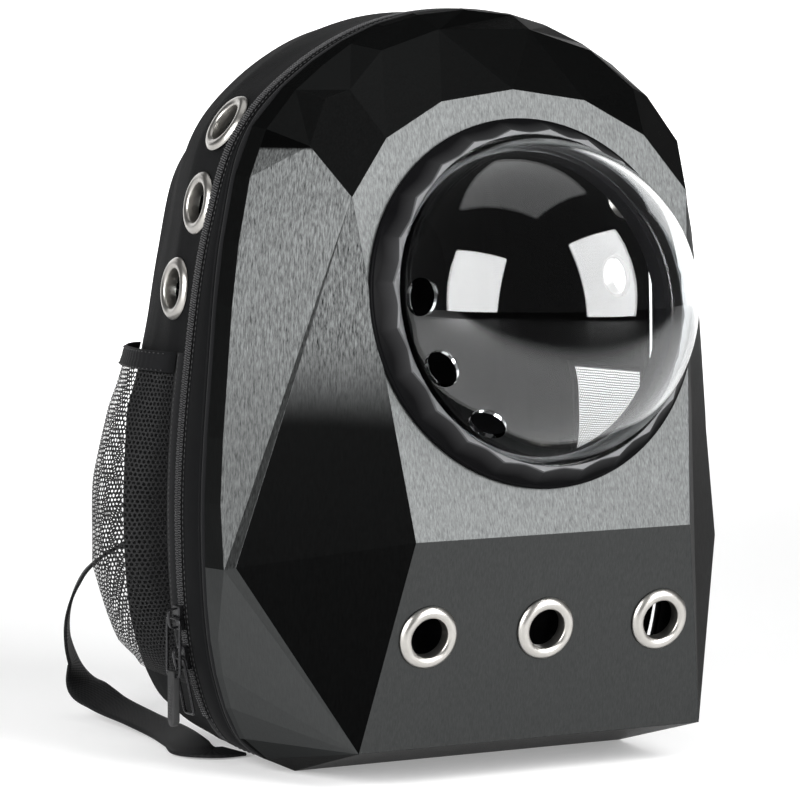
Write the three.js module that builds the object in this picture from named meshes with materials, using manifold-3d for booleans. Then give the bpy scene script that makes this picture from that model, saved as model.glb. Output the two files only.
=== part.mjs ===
// A bubble pet carrier backpack standing on its base: a faceted rigid front with a fluted bezel and a clear
// bubble, zipped to a cloth bag with eyelets, a net side pocket, a mesh window and two shoulder straps.
// Millimetres. X runs across (the wearer's right is -X seen from the front), -Y is the front, +Z is up.
// The origin is the middle of the flat base, on the floor.
import * as THREE from "three";
import { mergeVertices } from "three/addons/utils/BufferGeometryUtils.js";
import Module from "manifold-3d";

const wasm = await Module();
wasm.setup();

// Overall sizes
const HALF_WIDTH = 157; // centre line to the side of the frame
const HEIGHT = 411; // floor to the crown of the frame
const RIM_Y = -60; // plane of the rim where the rigid front meets the cloth
const BAG_DEPTH = 156; // rim plane to the outside of the back wall
const GAP = 0.3; // between pieces that touch
const CLOTH = 2; // cloth wall

// Rigid front
const SHELL_DEPTH = 101; // rim plane to the fold that stands furthest forward
const SHELL_WALL = 2.5;
const FOLD_Z = 133.5; // height of that fold
const UPPER_LEAN = 11; // degrees that the panel above the fold leans back
const LOWER_LEAN = 11.5; // degrees that the panel below the fold falls back
const SKIRT_DEPTH = 13; // side wall between the facets and the rim
const SKIRT_DRAFT = 3; // how far that wall draws in towards the facets

// Bezel and bubble
const BUBBLE_R = 88;
const BUBBLE_WALL = 3;
const BUBBLE_SEAT = 4; // height of the bubble's edge above the panel
const BEZEL_Z = 254.3; // height of the bubble's middle
const BEZEL_WIDTH = 11.2; // bubble to the bezel's outside
const BEZEL_HEIGHT = 14.4;
const BEZEL_FLANK = 2.7; // height of the plain flank at its foot
const BORE_FIT = 0.4; // bubble to the bezel
const FLUTES = 24;
const FLUTE_STEPS = 3; // corners of a flute's edge, the first on its ridge
const NECK_STEP = 2.3; // bubble to the outside of the bezel's neck, which passes through the shell
const NECK_WALL = 3.7;
const NECK_LENGTH = 8;
const VENT_R = 10;
const VENT_COUNT = 3;
const VENT_FIRST = 178.5; // degrees round the bubble, counted from +X towards the crown
const VENT_STEP = 27;
const VENT_RISE = 17.5; // degrees above the bubble's edge

// Eyelets
const EYELET_R = 17.2;
const EYELET_HOLE_R = 10.8;
const EYELET_HEIGHT = 3.2;
const EYELET_BARREL = 1.4; // wall of the barrel
const EYELET_DEPTH = 4.5; // barrel behind the face
const EYELET_BORE = EYELET_HOLE_R + EYELET_BARREL + GAP; // hole that it sits in
const FRONT_EYELET_X = 71.6;
const FRONT_EYELET_Z = 82;

// Frame bead, door band and zip
const BEAD_R = 3.3;
const BAND_INSET = 1; // outside of the door band, in from the rim's outline
const ZIP_BACK = 33; // rim plane to the zip, low on the sides
const ZIP_BACK_CROWN = 15; // and over the crown
const ZIP_TURN_LOW = 170; // height where the zip starts to draw forward
const ZIP_TURN_HIGH = 350; // and where it has drawn in
const ZIP_WIDTH = 7;
const TAPE_THICK = 1.4;
const TAPE_DROP = 0.4; // face of the tape below the band's face
const COIL_WIDTH = 4.4;
const COIL_PROUD = 1.3;
const ZIP_END = 0.045; // share of the outline, from the foot, where the zip ends

// Zip sliders and pulls
const SLIDER_WIDTH = 8.5;
const SLIDER_LENGTH = 13;
const SLIDER_THICK = 3;
const BRIDGE_HEIGHT = 5.2;
const PULL_LENGTH = 31;
const PULL_WIRE = 1.6;
const UPPER_LEG = 7.8; // middle of the upper pull to its legs, which clear the lower slider
const LOWER_LEG = 5.7;
const UPPER_SWING = 6; // degrees that the pulls stand out at rest
const LOWER_SWING = 0;
const TAB_WIDTH = 7.5;
const TAB_LENGTH = 28;
const TAB_THICK = 3.8;
const UPPER_SLIDER = 0.101; // shares of the outline from the foot
const LOWER_SLIDER = 0.08;

// Net pocket on the left
const POCKET_FOOT = 44; // height of its foot
const POCKET_TOP = 225; // top of the hem
const POCKET_HEM = 11;
const POCKET_LENGTH = 84; // front seam to rear seam
const POCKET_BULGE = 30;
const POCKET_SEAM = 0.9; // cloth to the pocket's edges
const POCKET_START = 14; // zip to the front seam
const NET_THICK = 1.2;
const HEM_THICK = 2.6;
const NET_COLUMNS = 6; // openings across
const NET_ROWS = 8; // openings up
const NET_BAR = 0.36; // share of the pitch that is cord

// Mesh window on the right
const WINDOW_NEAR = 44; // rim plane to its front edge
const WINDOW_FAR = 114; // and to its rear edge
const WINDOW_LOW = 42;
const WINDOW_HIGH = 205;
const WINDOW_THICK = 1.2;

// Back pad, straps and webbing
const PAD_THICK = 10;
const PAD_WIDTH = 190;
const PAD_LOW = 70; // heights of its lower and upper edge
const PAD_HIGH = 290;
const PAD_CORNER = 24;
const STRAP_WIDTH = 54;
const STRAP_THICK = 10;
const WEBBING_WIDTH = 25;
const WEBBING_THICK = 1.8;
const ADJUSTER = { width: 36, height: 24, thick: 5, slot: 6, bar: 4 };
const HANDLE_WIDTH = 24;
const HANDLE_UP = 0.8127; // its height, as a share of the height

// Finishes
const finish = (color, roughness, metalness) => new THREE.MeshStandardMaterial({ color, roughness, metalness });
const SHELL = finish(0x5b6066, 0.35, 0.6);
const GLOSS_BLACK = finish(0x0c0c0e, 0.12, 0.1);
const CLEAR = new THREE.MeshStandardMaterial({ color: 0xdfe8ea, roughness: 0.02, transparent: true, opacity: 0.25 });
const NICKEL = finish(0xb9b6ae, 0.25, 1);
const FABRIC = finish(0x141516, 0.9, 0);
const RUBBER = finish(0x1b1c1d, 0.7, 0);
const BLACK_METAL = finish(0x17181a, 0.3, 0.8);
const NET = finish(0x202224, 0.8, 0);

const radians = THREE.MathUtils.degToRad;
const vec = (x, y, z) => new THREE.Vector3(x, y, z);

// Solids

function solid(points, triangles) {
  const made = new wasm.Manifold(
    new wasm.Mesh({
      numProp: 3,
      vertProperties: new Float32Array(points.flatMap((p) => [p.x, p.y, p.z])),
      triVerts: new Uint32Array(triangles.flat()),
    }),
  );
  if (made.volume() >= 0) return made;
  return solid(points, triangles.map(([a, b, c]) => [a, c, b]));
}

function solidOf(geometry) {
  const bare = geometry.clone();
  bare.deleteAttribute("normal");
  bare.deleteAttribute("uv");
  const merged = mergeVertices(bare, 1e-3);
  const position = merged.getAttribute("position");
  const points = Array.from({ length: position.count }, (_, i) => vec(0, 0, 0).fromBufferAttribute(position, i));
  const index = Array.from(merged.index.array);
  const triangles = [];
  for (let i = 0; i < index.length; i += 3) {
    const [a, b, c] = index.slice(i, i + 3);
    if (a !== b && b !== c && c !== a) triangles.push([a, b, c]);
  }
  return solid(points, triangles);
}

function mesh(name, made, material) {
  const { vertProperties, triVerts } = made.getMesh();
  const geometry = new THREE.BufferGeometry()
    .setAttribute("position", new THREE.BufferAttribute(new Float32Array(vertProperties), 3))
    .setIndex(new THREE.BufferAttribute(new Uint32Array(triVerts), 1));
  const flat = geometry.toNonIndexed();
  flat.computeVertexNormals();
  const object = new THREE.Mesh(flat, material);
  object.name = name;
  return object;
}

// A closed skin through rows of points. Rows of equal length wrap round when closed, and the ends are
// capped by a fan, or joined to each other when the rows themselves run in a loop.
function loft(rows, looped = false) {
  const count = rows[0].length;
  const points = rows.flat();
  const triangles = [];
  const at = (row, i) => (row % rows.length) * count + (i % count);
  for (let row = 0; row < rows.length - (looped ? 0 : 1); row++) {
    for (let i = 0; i < count; i++) {
      triangles.push([at(row, i), at(row, i + 1), at(row + 1, i + 1)]);
      triangles.push([at(row, i), at(row + 1, i + 1), at(row + 1, i)]);
    }
  }
  if (looped) return solid(points, triangles);
  for (const row of [0, rows.length - 1]) {
    const middle = points.length;
    const centre = rows[row].reduce((sum, p) => sum.add(p), vec(0, 0, 0)).divideScalar(count);
    points.push(centre);
    for (let i = 0; i < count; i++) {
      const pair = [at(row, i), at(row, i + 1)];
      triangles.push(row === 0 ? [pair[1], pair[0], middle] : [pair[0], pair[1], middle]);
    }
  }
  return solid(points, triangles);
}

// A round solid from a profile of [radius, height] pairs about an axis that starts at `centre`.
function turned(profile, segments, centre, axis) {
  const spun = new THREE.LatheGeometry(profile.map(([r, h]) => new THREE.Vector2(r, h)), segments);
  const turn = new THREE.Quaternion().setFromUnitVectors(vec(0, 1, 0), axis);
  spun.applyQuaternion(turn).translate(centre.x, centre.y, centre.z);
  return solidOf(spun);
}

function rod(radius, from, to, segments = 24) {
  const axis = to.clone().sub(from);
  const length = axis.length();
  return turned([[0, 0], [radius, 0], [radius, length], [0, length]], segments, from, axis.normalize());
}

function block(low, high) {
  const size = high.clone().sub(low);
  const middle = high.clone().add(low).multiplyScalar(0.5);
  return solidOf(new THREE.BoxGeometry(size.x, size.y, size.z).translate(middle.x, middle.y, middle.z));
}

// The rim's outline, in shares of half the width and of the height, from the foot to the crown
const RIM_KNOTS = [
  { across: 0.66, up: 0 },
  { across: 0.847, up: 0.039 },
  { across: 0.955, up: 0.134 },
  { across: 1, up: 0.316 },
  { across: 0.968, up: 0.543 },
  { across: 0.917, up: 0.715 },
  { across: 0.822, up: 0.842 },
  { across: 0.605, up: 0.9246 },
  { across: 0.318, up: 0.981 },
  { across: 0, up: 1 },
];
const leftKnots = RIM_KNOTS.map(({ across, up }) => vec(-across * HALF_WIDTH, 0, up * HEIGHT));
const rightKnots = leftKnots.slice(0, -1).reverse().map((p) => vec(-p.x, 0, p.z));
const rimCurve = new THREE.CatmullRomCurve3([...leftKnots, ...rightKnots], false, "centripetal");
rimCurve.arcLengthDivisions = 800;

// Stations on that outline where the front's folds reach the rim, as shares of its length from the left
// foot, and the steps up to each
const RIM_STATIONS = [
  { name: "foot", share: 0, steps: 0 },
  { name: "cheek", share: 0.1305, steps: 7 },
  { name: "shoulder", share: 0.3315, steps: 6 },
  { name: "temple", share: 0.3855, steps: 2 },
  { name: "brow", share: 0.4268, steps: 2 },
  { name: "crest", share: 0.471, steps: 2 },
  { name: "crown", share: 0.5, steps: 1 },
];
const FLOOR_STEPS = 6;

function outlinePoint(share) {
  const p = rimCurve.getPointAt(share);
  const t = rimCurve.getTangentAt(share);
  return { x: p.x, z: p.z, nx: -t.z, nz: t.x, share };
}

function makeOutline() {
  const left = [];
  const index = {};
  RIM_STATIONS.forEach(({ name, share, steps }, i) => {
    const from = i ? RIM_STATIONS[i - 1].share : 0;
    for (let step = 1; step < steps; step++) left.push(outlinePoint(from + ((share - from) * step) / steps));
    index[name] = left.length;
    left.push(outlinePoint(share));
  });
  left[0].nx = 0;
  left[0].nz = -1;
  left[index.crown].nx = 0;
  const right = left.slice(0, -1).reverse().map((p) => ({ ...p, x: -p.x, nx: -p.nx, share: 1 - p.share }));
  const upper = [...left, ...right];
  const floor = Array.from({ length: FLOOR_STEPS - 1 }, (_, i) => ({
    x: -left[0].x * (1 - (2 * (i + 1)) / FLOOR_STEPS),
    z: 0,
    nx: 0,
    nz: -1,
    share: 1,
  }));
  return { loop: [...upper, ...floor], upper, index };
}
const OUTLINE = makeOutline();

// A point of the outline moved in by `inset`, at a distance `y` from the rim plane
const rimPoint = (p, inset, back) => vec(p.x - p.nx * inset, RIM_Y + back, p.z - p.nz * inset);

function zipBack(z) {
  const rise = THREE.MathUtils.clamp((z - ZIP_TURN_LOW) / (ZIP_TURN_HIGH - ZIP_TURN_LOW), 0, 1);
  return ZIP_BACK - (ZIP_BACK - ZIP_BACK_CROWN) * rise ** 1.8;
}

// A ring that follows the outline. profile(p) gives its section as [inset, back] pairs.
const rimRing = (profile, along = OUTLINE.loop, looped = true) =>
  loft(along.map((p) => profile(p).map(([inset, back]) => rimPoint(p, inset, back))), looped);

// Rigid front

const panelY = (z) =>
  RIM_Y - SHELL_DEPTH + (z > FOLD_Z ? Math.tan(radians(UPPER_LEAN)) * (z - FOLD_Z) : Math.tan(radians(LOWER_LEAN)) * (FOLD_Z - z));

// Corners of the facets on the left, in shares of half the width, the front's depth and the height. A
// corner with no depth of its own lies on the central panel.
const CORNERS = {
  browMiddle: { across: 0, up: 0.894 },
  brow: { across: 0.283, up: 0.879 },
  templeLow: { across: 0.508, up: 0.833 },
  shoulder: { across: 0.659, up: 0.759 },
  waist: { across: 0.539, up: FOLD_Z / HEIGHT },
  toe: { across: 0.676, up: 0.051 },
  cheek: { across: 0.962, forward: 0.248, up: 0.2825 },
  ear: { across: 0.729, forward: 0.398, up: 0.823 },
  earTop: { across: 0.638, forward: 0.311, up: 0.883 },
  temple: { across: 0.561, forward: 0.356, up: 0.894 },
  crestSide: { across: 0.415, forward: 0.284, up: 0.944 },
  crest: { across: 0.181, forward: 0.252, up: 0.9715 },
};

// Depth of the side wall along the outline, as a share of SKIRT_DEPTH, by share of the height
const SKIRT = [
  { up: 0, depth: 0.08 },
  { up: 0.05, depth: 0.3 },
  { up: 0.18, depth: 0.45 },
  { up: 0.28, depth: 1.25 },
  { up: 0.36, depth: 1 },
  { up: 0.82, depth: 0.95 },
  { up: 0.94, depth: 0.75 },
  { up: 1, depth: 0.3 },
];

function fromTable(table, key, at, value) {
  const next = table.findIndex((row) => row[key] >= at);
  if (next <= 0) return table[next === 0 ? 0 : table.length - 1][value];
  const [low, high] = [table[next - 1], table[next]];
  return THREE.MathUtils.lerp(low[value], high[value], (at - low[key]) / (high[key] - low[key]));
}

function shellSolid(shrink) {
  const points = [];
  const triangles = [];
  const add = (p) => points.push(p) - 1;
  const squeeze = (x, z) => [
    x * (1 - shrink / HALF_WIDTH),
    HEIGHT / 2 + (z - HEIGHT / 2) * (1 - (2 * shrink) / HEIGHT),
  ];
  const place = (x, y, z) => {
    const [sx, sz] = squeeze(x, z);
    return add(vec(sx, y + shrink, sz));
  };
  const corner = {};
  for (const [name, { across, up, forward }] of Object.entries(CORNERS)) {
    const z = up * HEIGHT;
    const y = forward === undefined ? panelY(z) : RIM_Y - forward * SHELL_DEPTH;
    corner[name] = [-1, 1].map((side) => (across || side < 0 ? place(side * across * HALF_WIDTH, y, z) : null));
    if (!across) corner[name][1] = corner[name][0];
  }
  const { loop, index } = OUTLINE;
  const front = loop.map((p) => {
    const depth = SKIRT_DEPTH * fromTable(SKIRT, "up", p.z / HEIGHT, "depth");
    const draft = p.z > 0 ? SKIRT_DRAFT * Math.min(1, depth / SKIRT_DEPTH) : 0;
    return place(p.x - p.nx * draft, RIM_Y - depth, p.z - p.nz * draft);
  });
  const rear = loop.map((p) => place(p.x, RIM_Y, p.z));
  const fan = (ids) => {
    for (let i = 1; i < ids.length - 1; i++) triangles.push([ids[0], ids[i], ids[i + 1]]);
  };
  const last = OUTLINE.upper.length - 1;
  const edge = (side, from, to) => {
    const picked = front.slice(index[from], index[to] + 1);
    return side ? Array.from(picked, (_, i) => front[last - index[from] - i]) : picked;
  };
  for (const side of [0, 1]) {
    const c = (name) => corner[name][side];
    const facets = [
      [c("toe"), ...edge(side, "foot", "cheek"), c("cheek")],
      [c("shoulder"), c("cheek"), ...edge(side, "cheek", "shoulder"), c("ear")],
      [c("ear"), ...edge(side, "shoulder", "temple"), c("earTop")],
      [c("temple"), c("earTop"), ...edge(side, "temple", "brow"), c("crestSide")],
      [c("crestSide"), ...edge(side, "brow", "crest"), c("crest")],
      [c("shoulder"), c("ear"), c("earTop"), c("temple"), c("templeLow")],
      [c("templeLow"), c("temple"), c("crestSide"), c("brow")],
      [c("brow"), c("crestSide"), c("crest")],
      [c("waist"), c("toe"), c("cheek"), c("shoulder")],
    ];
    for (const facet of facets) fan(side ? facet.reverse() : facet);
  }
  const [L, R] = [0, 1];
  fan([corner.browMiddle[L], corner.brow[L], corner.crest[L], corner.crest[R], corner.brow[R]]);
  fan([corner.crest[L], ...edge(0, "crest", "crown"), ...edge(1, "crest", "crown").reverse().slice(1), corner.crest[R]]);
  const panel = ["brow", "templeLow", "shoulder", "waist"];
  fan([corner.browMiddle[L], ...panel.map((n) => corner[n][R]), ...panel.reverse().map((n) => corner[n][L])]);
  fan([corner.waist[L], corner.waist[R], corner.toe[R], corner.toe[L]]);
  const floor = front.slice(last + 1);
  fan([corner.toe[L], corner.toe[R], front[last], ...floor, front[0]]);
  for (let i = 0; i < loop.length; i++) {
    const j = (i + 1) % loop.length;
    triangles.push([front[i], rear[i], rear[j]], [front[i], rear[j], front[j]]);
  }
  const middle = place(0, RIM_Y, HEIGHT / 2);
  for (let i = 0; i < loop.length; i++) triangles.push([rear[i], middle, rear[(i + 1) % loop.length]]);
  return solid(points, triangles);
}

const upperNormal = vec(0, -Math.cos(radians(UPPER_LEAN)), Math.sin(radians(UPPER_LEAN)));
const lowerNormal = vec(0, -Math.cos(radians(LOWER_LEAN)), -Math.sin(radians(LOWER_LEAN)));
const bezelCentre = vec(0, panelY(BEZEL_Z), BEZEL_Z);
const frontEyelets = [-1, 0, 1].map((side) => vec(side * FRONT_EYELET_X, panelY(FRONT_EYELET_Z), FRONT_EYELET_Z));
const out = (centre, axis, distance) => centre.clone().addScaledVector(axis, distance);

const across = vec(1, 0, 0);
const panelUp = vec(0, Math.sin(radians(UPPER_LEAN)), Math.cos(radians(UPPER_LEAN)));

function onPanel(angle, radius, height) {
  return bezelCentre
    .clone()
    .addScaledVector(across, radius * Math.cos(angle))
    .addScaledVector(panelUp, radius * Math.sin(angle))
    .addScaledVector(upperNormal, height);
}

function frontShell() {
  let made = shellSolid(0).subtract(shellSolid(SHELL_WALL));
  const bore = BUBBLE_R - NECK_STEP + GAP;
  made = made.subtract(rod(bore, out(bezelCentre, upperNormal, 20), out(bezelCentre, upperNormal, -20), 48));
  for (const centre of frontEyelets) {
    made = made.subtract(rod(EYELET_BORE, out(centre, lowerNormal, 10), out(centre, lowerNormal, -12)));
  }
  return made;
}

// Bezel and bubble

// The fluted face of the bezel at the ridges and in the hollows, in shares of its width and height
const FLUTE_SECTION = [
  { ridge: { out: 0.875, up: 0.243 }, hollow: { out: 0.69, up: 0.451 } },
  { ridge: { out: 0.367, up: 0.944 }, hollow: { out: 0.158, up: 0.972 } },
];

function bezel() {
  const count = FLUTES * FLUTE_STEPS;
  const seat = BUBBLE_SEAT - GAP;
  const neck = BUBBLE_R - NECK_STEP;
  const rows = Array.from({ length: count }, (_, k) => {
    const angle = radians(360 / FLUTES / 2 + (360 * k) / count);
    const ridge = Math.abs((2 * (k % FLUTE_STEPS)) / FLUTE_STEPS - 1) ** 1.5;
    const face = FLUTE_SECTION.map((row) => [
      BUBBLE_R + BEZEL_WIDTH * THREE.MathUtils.lerp(row.hollow.out, row.ridge.out, ridge),
      BEZEL_HEIGHT * THREE.MathUtils.lerp(row.hollow.up, row.ridge.up, ridge),
    ]);
    const section = [
      [BUBBLE_R + BEZEL_WIDTH, GAP],
      [BUBBLE_R + BEZEL_WIDTH, BEZEL_FLANK],
      ...face,
      [BUBBLE_R + BORE_FIT, BEZEL_HEIGHT],
      [BUBBLE_R + BORE_FIT, seat],
      [neck - NECK_WALL, seat],
      [neck - NECK_WALL, -NECK_LENGTH],
      [neck, -NECK_LENGTH],
      [neck, GAP],
    ];
    return section.map(([radius, height]) => onPanel(angle, radius, height));
  });
  return loft(rows, true);
}

function bubble() {
  const steps = 8;
  const arc = (radius) => {
    const low = Math.asin(BUBBLE_SEAT / radius);
    return Array.from({ length: steps + 1 }, (_, i) => {
      const rise = low + ((Math.PI / 2 - low) * i) / steps;
      return [i === steps ? 0 : radius * Math.cos(rise), radius * Math.sin(rise)];
    });
  };
  const skin = arc(BUBBLE_R);
  const profile = [...skin, ...arc(BUBBLE_R - BUBBLE_WALL).reverse(), skin[0]];
  let made = turned(profile, 32, bezelCentre, upperNormal);
  for (let i = 0; i < VENT_COUNT; i++) {
    const angle = radians(VENT_FIRST + VENT_STEP * i);
    const rise = radians(VENT_RISE);
    const toward = (distance) => onPanel(angle, distance * Math.cos(rise), distance * Math.sin(rise));
    made = made.subtract(rod(VENT_R, toward(BUBBLE_R * 0.8), toward(BUBBLE_R * 1.1), 16));
  }
  return made;
}

function eyelet(centre, axis) {
  const barrel = EYELET_HOLE_R + EYELET_BARREL;
  const lip = THREE.MathUtils.lerp(EYELET_HOLE_R, EYELET_R, 0.45);
  const profile = [
    [EYELET_HOLE_R, -EYELET_DEPTH],
    [EYELET_HOLE_R, EYELET_HEIGHT * 0.6],
    [lip, EYELET_HEIGHT],
    [EYELET_R, GAP],
    [barrel, GAP],
    [barrel, -EYELET_DEPTH],
    [EYELET_HOLE_R, -EYELET_DEPTH],
  ];
  return turned(profile, 18, centre, axis);
}

// Bead, band and zip round the rim

const beadBack = BEAD_R + GAP;
const bandFront = beadBack + BEAD_R + GAP;
const bandAt = (p) => zipBack(p.z) - ZIP_WIDTH / 2 - GAP;
const bagFront = (p) => zipBack(p.z) + ZIP_WIDTH / 2 + GAP;

function bead() {
  return rimRing((p) => {
    const lift = BEAD_R * THREE.MathUtils.clamp(1 - p.z / (8 * BEAD_R), 0, 1);
    return Array.from({ length: 6 }, (_, i) => {
      const turn = radians(60 * i);
      return [lift + BEAD_R * Math.cos(turn), beadBack + (BEAD_R * Math.sin(turn)) / Math.sin(radians(60))];
    });
  });
}

const doorBand = () =>
  rimRing((p) => [
    [BAND_INSET, bandFront],
    [BAND_INSET, bandAt(p)],
    [BAND_INSET + CLOTH, bandAt(p)],
    [BAND_INSET + CLOTH, bandFront],
  ]);

const zipLine = (from, to, steps) =>
  Array.from({ length: steps + 1 }, (_, i) => outlinePoint(THREE.MathUtils.lerp(from, to, i / steps)));

function zip() {
  const middle = OUTLINE.upper.filter((p) => p.share > ZIP_END + 0.005 && p.share < 1 - ZIP_END - 0.005);
  const along = [outlinePoint(ZIP_END), ...middle, outlinePoint(1 - ZIP_END)];
  const face = BAND_INSET + TAPE_DROP;
  const section = (p) => {
    const back = zipBack(p.z);
    return [
      [face, back - ZIP_WIDTH / 2],
      [face, back - COIL_WIDTH / 2],
      [face - COIL_PROUD, back - COIL_WIDTH / 2],
      [face - COIL_PROUD, back + COIL_WIDTH / 2],
      [face, back + COIL_WIDTH / 2],
      [face, back + ZIP_WIDTH / 2],
      [face + TAPE_THICK, back + ZIP_WIDTH / 2],
      [face + TAPE_THICK, back - ZIP_WIDTH / 2],
    ];
  };
  return rimRing(section, along, false);
}

function doorHinge() {
  const near = ZIP_END - GAP / rimCurve.getLength();
  const side = OUTLINE.upper.filter((p) => p.share < near - 0.005);
  const left = [outlinePoint(near), ...side.reverse()];
  const floor = OUTLINE.loop.slice(OUTLINE.upper.length).reverse();
  const right = [...left].reverse().map((p) => ({ ...p, x: -p.x, nx: -p.nx }));
  const section = () => [
    [BAND_INSET + TAPE_DROP, ZIP_BACK - ZIP_WIDTH / 2],
    [BAND_INSET + TAPE_DROP, ZIP_BACK + ZIP_WIDTH / 2],
    [BAND_INSET + TAPE_DROP + TAPE_THICK, ZIP_BACK + ZIP_WIDTH / 2],
    [BAND_INSET + TAPE_DROP + TAPE_THICK, ZIP_BACK - ZIP_WIDTH / 2],
  ];
  return rimRing(section, [...left, ...floor, ...right], false);
}

// Cloth bag

// The bag's sections from the rim plane to the back, in shares of its depth, of half the width and of the
// height: how far the sides draw in all over and at the shoulders, the base lifts and the top drops
const BAG_SECTIONS = [
  { back: 0, inset: 0.007, shoulder: 0, lift: 0, drop: 0.003 },
  { back: 0.42, inset: 0.03, shoulder: 0.011, lift: 0, drop: 0.003 },
  { back: 0.65, inset: 0.052, shoulder: 0.062, lift: 0, drop: 0.016 },
  { back: 0.81, inset: 0.074, shoulder: 0.095, lift: 0.013, drop: 0.058 },
  { back: 0.92, inset: 0.14, shoulder: 0.063, lift: 0.032, drop: 0.076 },
  { back: 0.985, inset: 0.242, shoulder: 0.02, lift: 0.073, drop: 0.107 },
  { back: 1, inset: 0.33, shoulder: 0, lift: 0.11, drop: 0.15 },
];
const BASE_FLAT = 0.44; // half the width of the flat base, as a share of half the width
const SHOULDER_UP = 0.78; // height of the shoulders, as a share of the height
const SHOULDER_SPAN = 0.3; // and how far above and below they reach
const CORNER_LIFT = 17; // how far the base's corners rise at the sides
const CORNER_HEIGHT = 80; // height where that rise has faded

function bagPoint(p, back, offset = 0) {
  const share = back / BAG_DEPTH;
  const [inset, shoulder, lift, drop] = ["inset", "shoulder", "lift", "drop"].map((key) =>
    fromTable(BAG_SECTIONS, "back", share, key),
  );
  const bell = Math.max(0, 1 - ((p.z / HEIGHT - SHOULDER_UP) / SHOULDER_SPAN) ** 2);
  const x = p.x * (1 - inset - shoulder * bell);
  const side = Math.max(0, (Math.abs(x) / HALF_WIDTH - BASE_FLAT) / (1 - BASE_FLAT));
  const corner = CORNER_LIFT * side ** 2 * Math.max(0, 1 - p.z / CORNER_HEIGHT) * Math.min(1, share / 0.42);
  const z = HEIGHT * lift + p.z * (1 - lift - drop) + corner;
  return vec(x + p.nx * offset, RIM_Y + back, z + p.nz * offset);
}

const backs = BAG_SECTIONS.slice(1).map((row) => row.back * BAG_DEPTH);

function bagSkin(offset) {
  const front = OUTLINE.loop.map((p) => bagPoint(p, bagFront(p) + Math.min(0, offset * 3), offset));
  const rows = backs.map((back, i) => {
    const deep = i === backs.length - 1 ? back + offset : back;
    return OUTLINE.loop.map((p) => bagPoint(p, back, offset).setY(RIM_Y + deep));
  });
  return loft([front, ...rows]);
}

// Place on the bag's side at a height and a distance behind the rim plane; side is -1 for the left
function onSide(side, z, back, offset = 0) {
  let [low, high] = [0, 0.5];
  for (let i = 0; i < 40; i++) {
    const middle = (low + high) / 2;
    if (bagPoint(outlinePoint(middle), back).z < z) low = middle;
    else high = middle;
  }
  const p = bagPoint(outlinePoint(low), back, offset);
  return side < 0 ? p : p.setX(-p.x);
}

function sideNormal(side, z, back) {
  const up = onSide(side, z + 4, back).sub(onSide(side, z - 4, back));
  const rear = onSide(side, z, back + 4).sub(onSide(side, z, back - 4));
  return up.cross(rear).multiplyScalar(-side).normalize();
}

// Side eyelets, in shares of the height and of the bag's depth
const SIDE_EYELETS = [
  { up: 0.848, back: 0.242 },
  { up: 0.744, back: 0.284 },
  { up: 0.63, back: 0.391 },
];
const sideEyelet = (side, { up, back }) => ({
  centre: onSide(side, up * HEIGHT, back * BAG_DEPTH),
  axis: sideNormal(side, up * HEIGHT, back * BAG_DEPTH),
});

// A sheet over a grid of places. skin(i, j, face) gives the point on its inner (0) or outer (1) face, and
// open(i, j) tells which cells are cut through.
function sheet(columns, rows, skin, open = () => false) {
  const points = [];
  const id = (i, j, face) => (i * (rows + 1) + j) * 2 + face;
  for (let i = 0; i <= columns; i++) {
    for (let j = 0; j <= rows; j++) points.push(skin(i, j, 0), skin(i, j, 1));
  }
  const triangles = [];
  const quad = (a, b, c, d) => triangles.push([a, b, c], [a, c, d]);
  const filled = (i, j) => i >= 0 && j >= 0 && i < columns && j < rows && !open(i, j);
  for (let i = 0; i < columns; i++) {
    for (let j = 0; j < rows; j++) {
      if (!filled(i, j)) continue;
      const [k, m] = [i + 1, j + 1];
      quad(id(i, j, 1), id(k, j, 1), id(k, m, 1), id(i, m, 1));
      quad(id(i, j, 0), id(i, m, 0), id(k, m, 0), id(k, j, 0));
      if (!filled(i - 1, j)) quad(id(i, j, 0), id(i, j, 1), id(i, m, 1), id(i, m, 0));
      if (!filled(k, j)) quad(id(k, j, 1), id(k, j, 0), id(k, m, 0), id(k, m, 1));
      if (!filled(i, j - 1)) quad(id(i, j, 1), id(i, j, 0), id(k, j, 0), id(k, j, 1));
      if (!filled(i, m)) quad(id(i, m, 0), id(i, m, 1), id(k, m, 1), id(k, m, 0));
    }
  }
  return solid(points, triangles);
}

function windowSheet(thickness, margin) {
  const [columns, rows] = [4, 8];
  return sheet(columns, rows, (i, j, face) => {
    const back = THREE.MathUtils.lerp(WINDOW_NEAR - margin, WINDOW_FAR + margin, i / columns);
    const z = THREE.MathUtils.lerp(WINDOW_LOW - margin, WINDOW_HIGH + margin, j / rows);
    return onSide(1, z, back, -CLOTH / 2 + (face ? 1 : -1) * thickness * 0.5);
  });
}

function bagBody() {
  let made = bagSkin(0).subtract(bagSkin(-CLOTH));
  made = made.subtract(windowSheet(4 * CLOTH, GAP));
  for (const side of [-1, 1]) {
    for (const place of SIDE_EYELETS) {
      const { centre, axis } = sideEyelet(side, place);
      made = made.subtract(rod(EYELET_BORE, out(centre, axis, 8), out(centre, axis, -10)));
    }
  }
  return made;
}

// Net pocket

// How far the net stands off the bag, in shares of POCKET_BULGE, up the pocket
const POCKET_SWELL = [
  { up: 0, swell: 0 },
  { up: 0.12, swell: 0.55 },
  { up: 0.35, swell: 1 },
  { up: 0.6, swell: 0.92 },
  { up: 0.85, swell: 0.62 },
  { up: 1, swell: 0.5 },
];
const netTop = POCKET_TOP - POCKET_HEM - GAP;

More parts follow.
